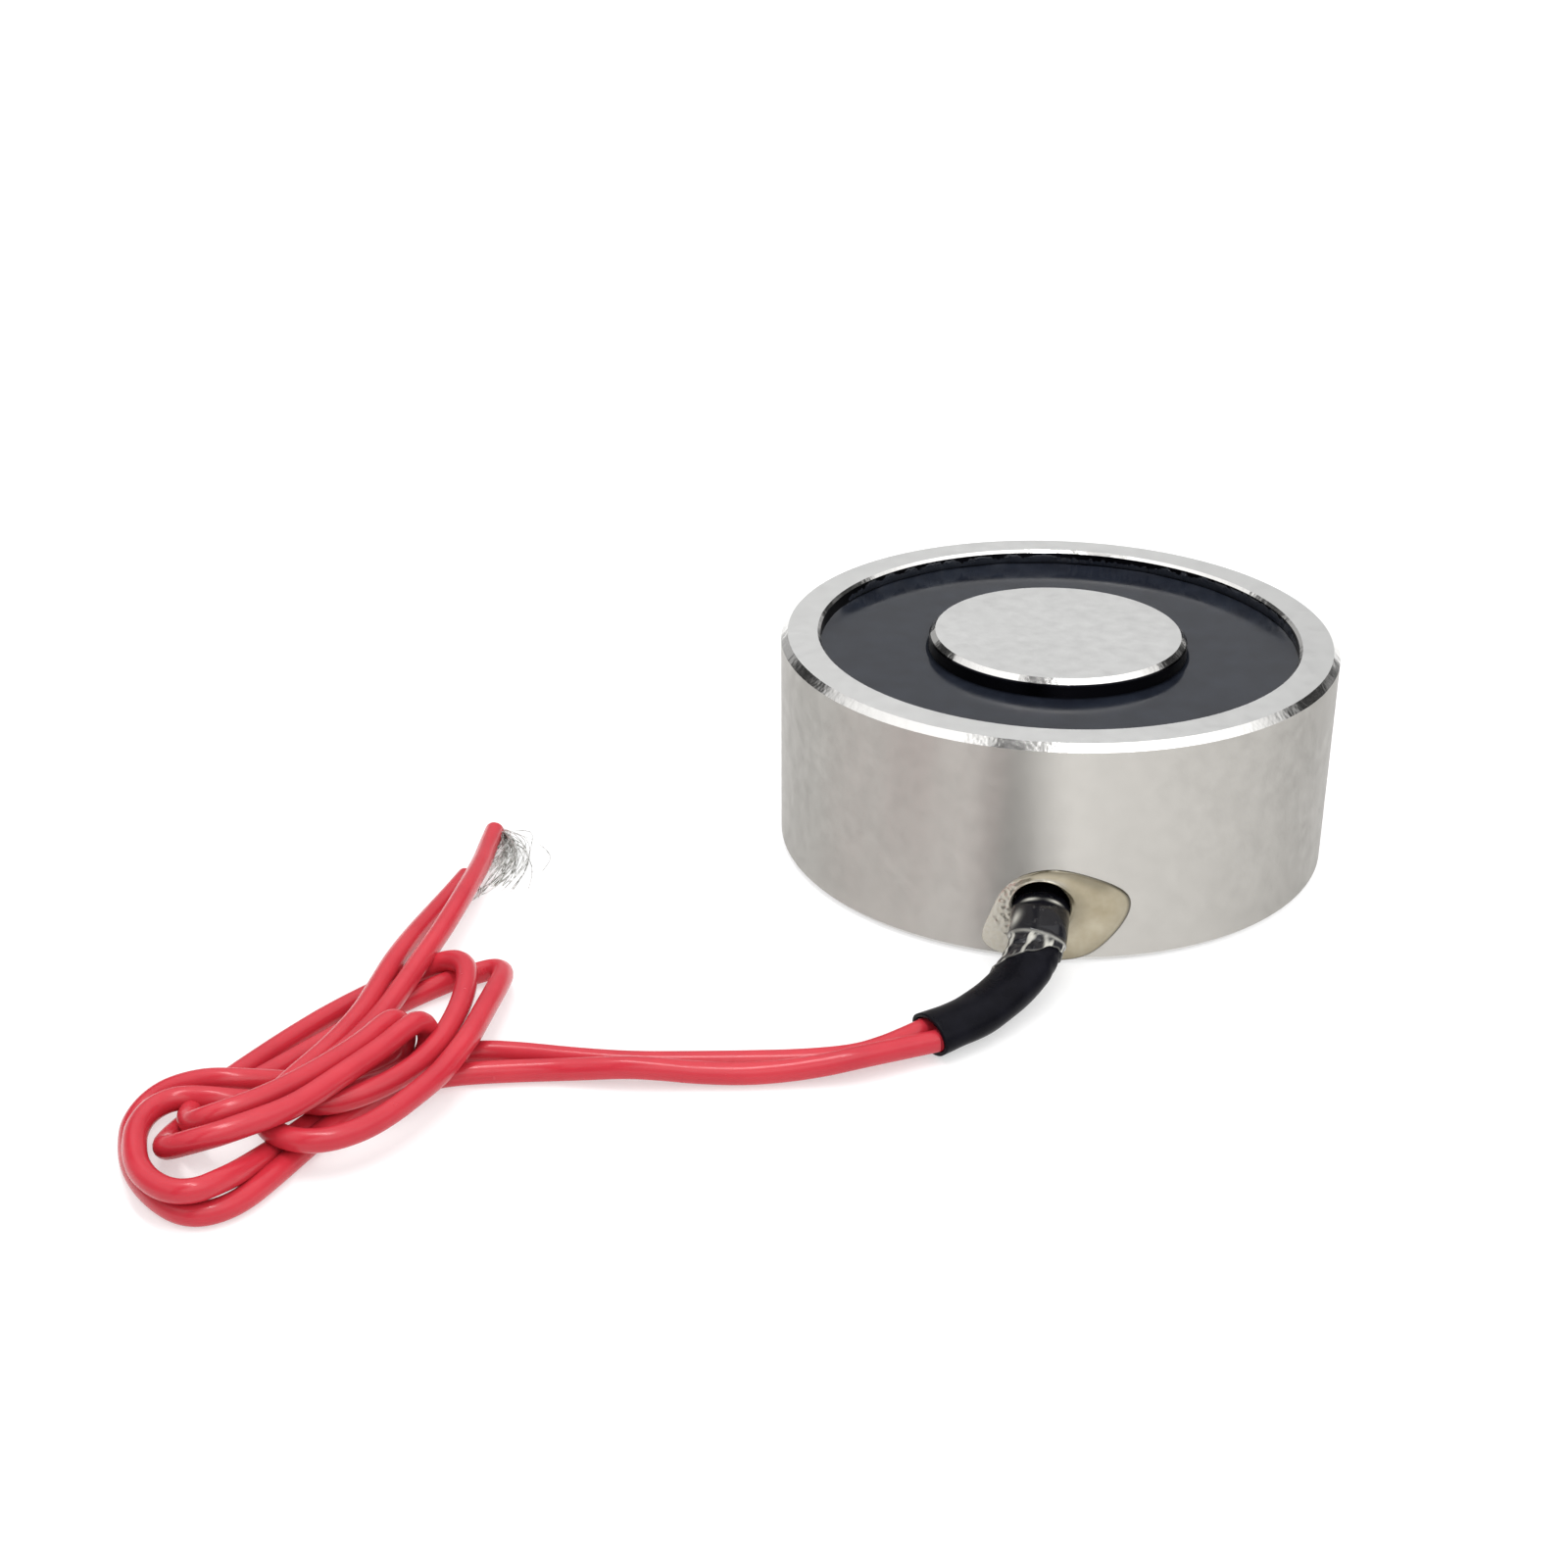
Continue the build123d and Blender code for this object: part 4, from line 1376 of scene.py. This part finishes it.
@dataclass
class ResinPool:
    """The top of the potting resin: slightly wavy, level at the pole and drawn up the outer wall."""

    depth: float = 0.0016
    overlap: float = 0.00003
    climb: float = 0.00028
    climb_width: float = 0.0006
    rings: int = 44
    sides: int = 240

    def level(self, radius: float, angle: float) -> float:
        """Finds the resin's height.

        Args:
            radius: Distance from the axis.
            angle: Round the axis, in radians.

        Returns:
            The height in metres.
        """
        wave = noise.noise(Vector((radius * math.cos(angle), radius * math.sin(angle), 0.0)) * 130)
        ragged = 1 + 0.35 * noise_round(angle, 5, 7.0)
        drawn = math.exp((radius - GROOVE_RADIUS) / self.climb_width) * self.climb * ragged
        return RESIN_LEVEL + 0.00002 * wave + drawn

    def build(self, finishes: Finishes) -> bpy.types.Object:
        """Makes the pool as one closed ring.

        Args:
            finishes: The part's materials.

        Returns:
            The pool.
        """
        inner, outer = POLE_RADIUS - self.overlap, GROOVE_RADIUS + self.overlap
        course = [(inner, False)]
        for ring in range(self.rings + 1):
            course.append((inner + (outer - inner) * (1 - (1 - ring / self.rings) ** 2), True))
        course += [(outer, False)]
        points = []
        for radius, on_top in course:
            for side in range(self.sides):
                angle = math.tau * side / self.sides
                height = self.level(radius, angle) if on_top else RESIN_LEVEL - self.depth
                points.append(Vector((radius * math.cos(angle), radius * math.sin(angle), height)))
        made = mesh_of("resin_pool", points, ring_faces(len(course), self.sides, True))
        set_outward(made)
        finishes.dress(made, Slot.RESIN)
        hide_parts("potting_resin")
        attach(made, "root")
        return made


@dataclass
class ResinSmear:
    """Resin smeared unevenly up the groove's outer wall and edge, from the right round to the back left."""

    start: float = 2.0
    end: float = 160.0
    steps: int = 900
    foot: float = RESIN_LEVEL + 0.0003
    brim: float = POT_HEIGHT - 0.00025
    # Each lump's angle and half width in degrees, and its height.
    lumps: tuple[tuple[float, float, float], ...] = (
        (13.7, 2.6, 0.45), (18.5, 2.0, 0.25), (23.2, 2.2, 0.55), (28.0, 1.8, 0.35), (32.6, 2.4, 0.62),
        (36.2, 1.4, 0.4), (39.8, 1.9, 0.72), (45.2, 2.2, 0.70), (50.5, 2.4, 0.35), (56.8, 0.7, 1.0),
        (62.0, 2.0, 0.25), (95.0, 3.5, 0.30), (103.5, 1.8, 0.42), (112.0, 2.8, 0.30), (121.0, 1.6, 0.5),
        (126.0, 2.4, 0.4), (133.0, 1.6, 0.48), (140.0, 2.0, 0.36), (147.0, 2.6, 0.3),
    )

    def fullness(self, angle: float) -> float:
        """Finds how much resin clings at an angle.

        Args:
            angle: Degrees from +X.

        Returns:
            From about 0 to 1.
        """
        ends = smooth_step(angle, self.start, self.start + 6)
        ends *= 1 - smooth_step(angle, self.end - 4, self.end)
        ragged = 0.24 * noise.noise(Vector((angle * 0.9, 0.0, 2.0)))
        ragged += 0.10 * noise.noise(Vector((angle * 2.6, 5.0, 0.0)))
        lump = max(height * bell(angle - place, width) for place, width, height in self.lumps)
        return max(0.0, (0.30 + ragged + 1.3 * lump) * ends)

    def build(self, finishes: Finishes) -> bpy.types.Object:
        """Makes the smear as one closed strip with rounded section.

        Args:
            finishes: The part's materials.

        Returns:
            The smear.
        """
        sides = 12
        points = []
        for step in range(self.steps + 1):
            angle = self.start + (self.end - self.start) * step / self.steps
            full = self.fullness(angle)
            top = min(self.foot + 0.00045 + 0.0008 * full, POT_HEIGHT - 0.00002)
            thick = 0.00003 + 0.00016 * min(full, 1.0)
            over = max(0.0, top - self.brim)
            for side in range(sides):
                turn = math.tau * side / sides
                height = 0.5 - 0.5 * math.cos(turn)
                belly = max(0.0, math.sin(turn)) * (1 - 0.35 * height)
                z = self.foot + (top - self.foot) * height
                radius = GROOVE_RADIUS + 0.00004 - thick * belly + over * smooth_step(height, 0.5, 1.0)
                way = math.radians(angle)
                points.append(Vector((radius * math.cos(way), radius * math.sin(way), z)))
        made = mesh_of("resin_smear", points, ring_faces(self.steps + 1, sides, False))
        set_outward(made)
        finishes.dress(made, Slot.RESIN)
        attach(made, "root")
        return made


@dataclass(frozen=True)
class DarkSpot:
    """A dark part of the studio, which polished edges mirror: where it is and how wide, in degrees."""

    heading: float
    height: float
    inner: float
    outer: float


def way_of(heading: float, height: float = 0.0) -> Vector:
    """Finds a direction in the studio.

    Args:
        heading: Degrees right of +Y.
        height: Degrees over the floor's edge.

    Returns:
        A unit vector.
    """
    level = math.cos(math.radians(height))
    turn = math.radians(heading)
    return Vector((level * math.sin(turn), level * math.cos(turn), math.sin(math.radians(height))))


@dataclass
class Studio:
    """The pale floor, the pale surround and the soft lights."""

    floor_size: float = 4.0
    floor_lift: float = 0.52
    sky_strength: float = 1.5
    # Greys of the surround by height, from the floor's edge to overhead.
    sky: tuple[tuple[float, float], ...] = (
        (0.0, 0.30), (0.34, 0.29), (0.48, 0.34), (0.60, 0.72), (0.80, 0.90), (1.0, 1.0),
    )
    glow_heading: float = 155.0
    glow: float = 2.0
    gap_heading: float = 197.0
    gap_inner: float = 6.0
    gap_outer: float = 10.0
    backdrop: float = 0.93
    dark: float = 0.04
    spots: tuple[DarkSpot, ...] = (
        DarkSpot(-52.0, 24.0, 8.0, 15.0), DarkSpot(50.0, 24.0, 9.0, 17.0), DarkSpot(32.0, 12.0, 5.0, 12.0),
        DarkSpot(222.0, 65.0, 3.0, 6.0),
    )

    def floor(self) -> None:
        """Makes the plain pale floor."""
        half, level = self.floor_size / 2, -0.00002
        corners = [(x * half, y * half, level) for x, y in ((-1, -1), (1, -1), (1, 1), (-1, 1))]
        floor = mesh_of("studio_floor", corners, [(0, 1, 2, 3)])
        sheet = NodeSheet("studio_floor")
        grain = sheet.noise(sheet.place(), 30.0, 3.0, 0.5)
        tint = sheet.ramp(grain, 0, [(0.3, (0.50, 0.50, 0.50)), (0.7, (0.52, 0.52, 0.52))])
        sheet.join(tint, 0, sheet.shader, "Base Color")
        sheet.set(Roughness=0.9, Specular_IOR_Level=0.0)
        sheet.set(Emission_Color=(1.0, 1.0, 1.0, 1.0), Emission_Strength=self.floor_lift)
        floor.data.materials.append(sheet.material)

    def share_of(self, tree: bpy.types.NodeTree, coords: bpy.types.Node, way: Vector) -> bpy.types.Node:
        """Adds how far a direction of the surround points along another.

        Args:
            tree: The world's node tree.
            coords: Its texture coordinates.
            way: The other direction, a unit vector.

        Returns:
            The node, whose Value goes from -1 to 1.
        """
        along = tree.nodes.new("ShaderNodeVectorMath")
        along.operation = "DOT_PRODUCT"
        along.inputs[1].default_value = way
        tree.links.new(coords.outputs["Generated"], along.inputs[0])
        return along

    def shade(self, tree: bpy.types.NodeTree, light: bpy.types.NodeSocket,
              factor: bpy.types.Node) -> bpy.types.NodeSocket:
        """Multiplies the surround's colour by a factor.

        Args:
            tree: The world's node tree.
            light: The colour so far.
            factor: The node whose output 0 is the factor.

        Returns:
            The new colour.
        """
        node = tree.nodes.new("ShaderNodeVectorMath")
        node.operation = "MULTIPLY"
        tree.links.new(light, node.inputs[0])
        tree.links.new(factor.outputs[0], node.inputs[1])
        return node.outputs[0]

    def fade(self, tree: bpy.types.NodeTree, source: bpy.types.NodeSocket,
             stops: tuple[float, float, float, float], smooth: bool = True) -> bpy.types.Node:
        """Adds a change between two values.

        Args:
            tree: The world's node tree.
            source: The output that it reads.
            stops: Where it starts and ends, and its value at both.
            smooth: Whether it eases in and out.

        Returns:
            The map range node.
        """
        node = tree.nodes.new("ShaderNodeMapRange")
        node.interpolation_type = "SMOOTHSTEP" if smooth else "LINEAR"
        for name, value in zip(("From Min", "From Max", "To Min", "To Max"), stops):
            node.inputs[name].default_value = value
        tree.links.new(source, node.inputs[0])
        return node

    def front_glow(self, tree: bpy.types.NodeTree, coords: bpy.types.Node) -> bpy.types.Node:
        """Adds how much brighter the surround is in front, on the right.

        Args:
            tree: The world's node tree.
            coords: Its texture coordinates.

        Returns:
            A node that gives the factor.
        """
        ahead = self.share_of(tree, coords, way_of(self.glow_heading))
        return self.fade(tree, ahead.outputs["Value"], (0.0, 0.8, 1.0, self.glow))

    def front_gap(self, tree: bpy.types.NodeTree, coords: bpy.types.Node) -> bpy.types.Node:
        """Adds the upright dark gap between the lights in front, which the side mirrors as a soft band.

        Args:
            tree: The world's node tree.
            coords: Its texture coordinates.

        Returns:
            A node that gives the factor.
        """
        beside = self.share_of(tree, coords, way_of(self.gap_heading + 90.0))
        size = tree.nodes.new("ShaderNodeMath")
        size.operation = "ABSOLUTE"
        tree.links.new(beside.outputs["Value"], size.inputs[0])
        edges = (math.sin(math.radians(self.gap_inner)), math.sin(math.radians(self.gap_outer)))
        dark = self.fade(tree, size.outputs[0], (*edges, 0.0, 1.0))
        ahead = self.share_of(tree, coords, way_of(self.gap_heading))
        behind = self.fade(tree, ahead.outputs["Value"], (0.0, 0.5, 1.0, 0.0))
        either = tree.nodes.new("ShaderNodeMath")
        either.operation = "MAXIMUM"
        tree.links.new(dark.outputs[0], either.inputs[0])
        tree.links.new(behind.outputs[0], either.inputs[1])
        return either

    def surround(self) -> None:
        """Makes the soft sky: bright overhead, dim low down, and plain pale where the camera sees it."""
        world = bpy.data.worlds.new("studio")
        world.use_nodes = True
        tree = world.node_tree
        lit = tree.nodes["Background"]
        lit.inputs["Strength"].default_value = self.sky_strength
        coords = tree.nodes.new("ShaderNodeTexCoord")
        parts = tree.nodes.new("ShaderNodeSeparateXYZ")
        tree.links.new(coords.outputs["Generated"], parts.inputs[0])
        band = tree.nodes.new("ShaderNodeValToRGB")
        tree.links.new(parts.outputs["Z"], band.inputs[0])
        while len(band.color_ramp.elements) < len(self.sky):
            band.color_ramp.elements.new(0.5)
        for element, (height, grey) in zip(band.color_ramp.elements, self.sky):
            element.position = height
            element.color = (grey, grey, grey, 1.0)
        light = band.outputs[0]
        for spot in self.spots:
            near = self.share_of(tree, coords, way_of(spot.heading, spot.height))
            edges = (math.cos(math.radians(spot.outer)), math.cos(math.radians(spot.inner)))
            factor = self.fade(tree, near.outputs["Value"], (*edges, 1.0, self.dark), smooth=False)
            light = self.shade(tree, light, factor)
        light = self.shade(tree, light, self.front_glow(tree, coords))
        light = self.shade(tree, light, self.front_gap(tree, coords))
        tree.links.new(light, lit.inputs["Color"])
        plain = tree.nodes.new("ShaderNodeBackground")
        plain.inputs["Color"].default_value = (self.backdrop, self.backdrop, self.backdrop, 1.0)
        path = tree.nodes.new("ShaderNodeLightPath")
        either = tree.nodes.new("ShaderNodeMixShader")
        tree.links.new(path.outputs["Is Camera Ray"], either.inputs[0])
        tree.links.new(lit.outputs[0], either.inputs[1])
        tree.links.new(plain.outputs[0], either.inputs[2])
        tree.links.new(either.outputs[0], tree.nodes["World Output"].inputs["Surface"])
        bpy.context.scene.world = world

    def light(self, name: str, place: Point, aim: Point, size: tuple[float, float], power: float) -> None:
        """Makes one soft box.

        Args:
            name: The light's name.
            place: Where it stands.
            aim: The point it faces.
            size: Its width and height.
            power: Its power in watts.
        """
        data = bpy.data.lights.new(name, "AREA")
        data.shape = "RECTANGLE"
        data.size, data.size_y = size
        data.energy = power
        lamp = link(name, data)
        facing = Vector(aim) - Vector(place)
        lamp.matrix_world = Matrix.Translation(place) @ facing.to_track_quat("-Z", "Y").to_matrix().to_4x4()

    def build(self) -> None:
        """Makes the floor, the surround and the lights."""
        self.floor()
        self.surround()
        self.light("top_box", (-0.05, -0.05, 0.75), (0.0, 0.0, 0.0), (0.50, 0.06), 2.0)
        view = bpy.context.scene.view_settings
        view.view_transform = "Standard"
        view.look = "None"


@dataclass
class CarriedNodes:
    """The CAD nodes that stay as they are and only get their finish."""

    finish_of: dict[str, Slot] = field(default_factory=lambda: {
        "pot_body": Slot.STEEL,
        "bobbin": Slot.BOBBIN,
        "coil_winding": Slot.COPPER,
        "coil_tape": Slot.TAPE,
        "winding_start_wire": Slot.COPPER,
        "winding_finish_wire": Slot.COPPER,
        "solder_joint_1": Slot.SOLDER,
        "solder_joint_2": Slot.SOLDER,
        "joint_sleeve_1": Slot.JOINT,
        "joint_sleeve_2": Slot.JOINT,
        "lead_1_inner": Slot.LEAD,
        "lead_2_inner": Slot.LEAD,
    })

    def build(self, finishes: Finishes) -> None:
        """Dresses the nodes.

        Args:
            finishes: The part's materials.
        """
        for name, slot in self.finish_of.items():
            finishes.dress(frame["nodes"][name], slot)


def main() -> None:
    """Builds the scene piece by piece."""
    logging.basicConfig(level=logging.INFO, format="%(name)s: %(message)s")
    PhotoCamera().build()
    finishes = Finishes()
    finishes.build()
    frayed = (
        BareStrands("lead_1_bare_strands", LEAD_1_POINTS[-1], lean=(0.5, -0.2, -0.2), count=14, reach=0.0035,
                    spread=0.25, seed=11, stands_for="lead_1_strands"),
        BareStrands("lead_2_bare_strands", LEAD_2_POINTS[-1], lean=(1.0, -0.35, 0.0), count=70, reach=0.0118,
                    spread=0.22, seed=7, stands_for="lead_2_strands"),
    )
    leads = (
        Lead("lead_1", LEAD_1_POINTS, 0.241, ("lead_1_run", "lead_1_tail", "lead_hank")),
        Lead("lead_2", LEAD_2_POINTS, 0.231, ("lead_2_run", "lead_2_tail", "lead_hank")),
    )
    strands = [tuft.build(finishes) for tuft in frayed]
    for lead, tuft in zip(leads, strands):
        log.info("%s and %s built", lead.build(finishes, tuft).name, tuft.name)
    sleeve = Sleeve()
    for piece in (sleeve, SleeveSkin(sleeve), GluePatch(), ResinPool(), ResinSmear()):
        log.info("%s built", piece.build(finishes).name)
    carried = CarriedNodes()
    carried.build(finishes)
    log.info("%s dressed", ", ".join(carried.finish_of))
    Studio().build()
    log.info("studio built")


if __name__ == "__main__":
    main()
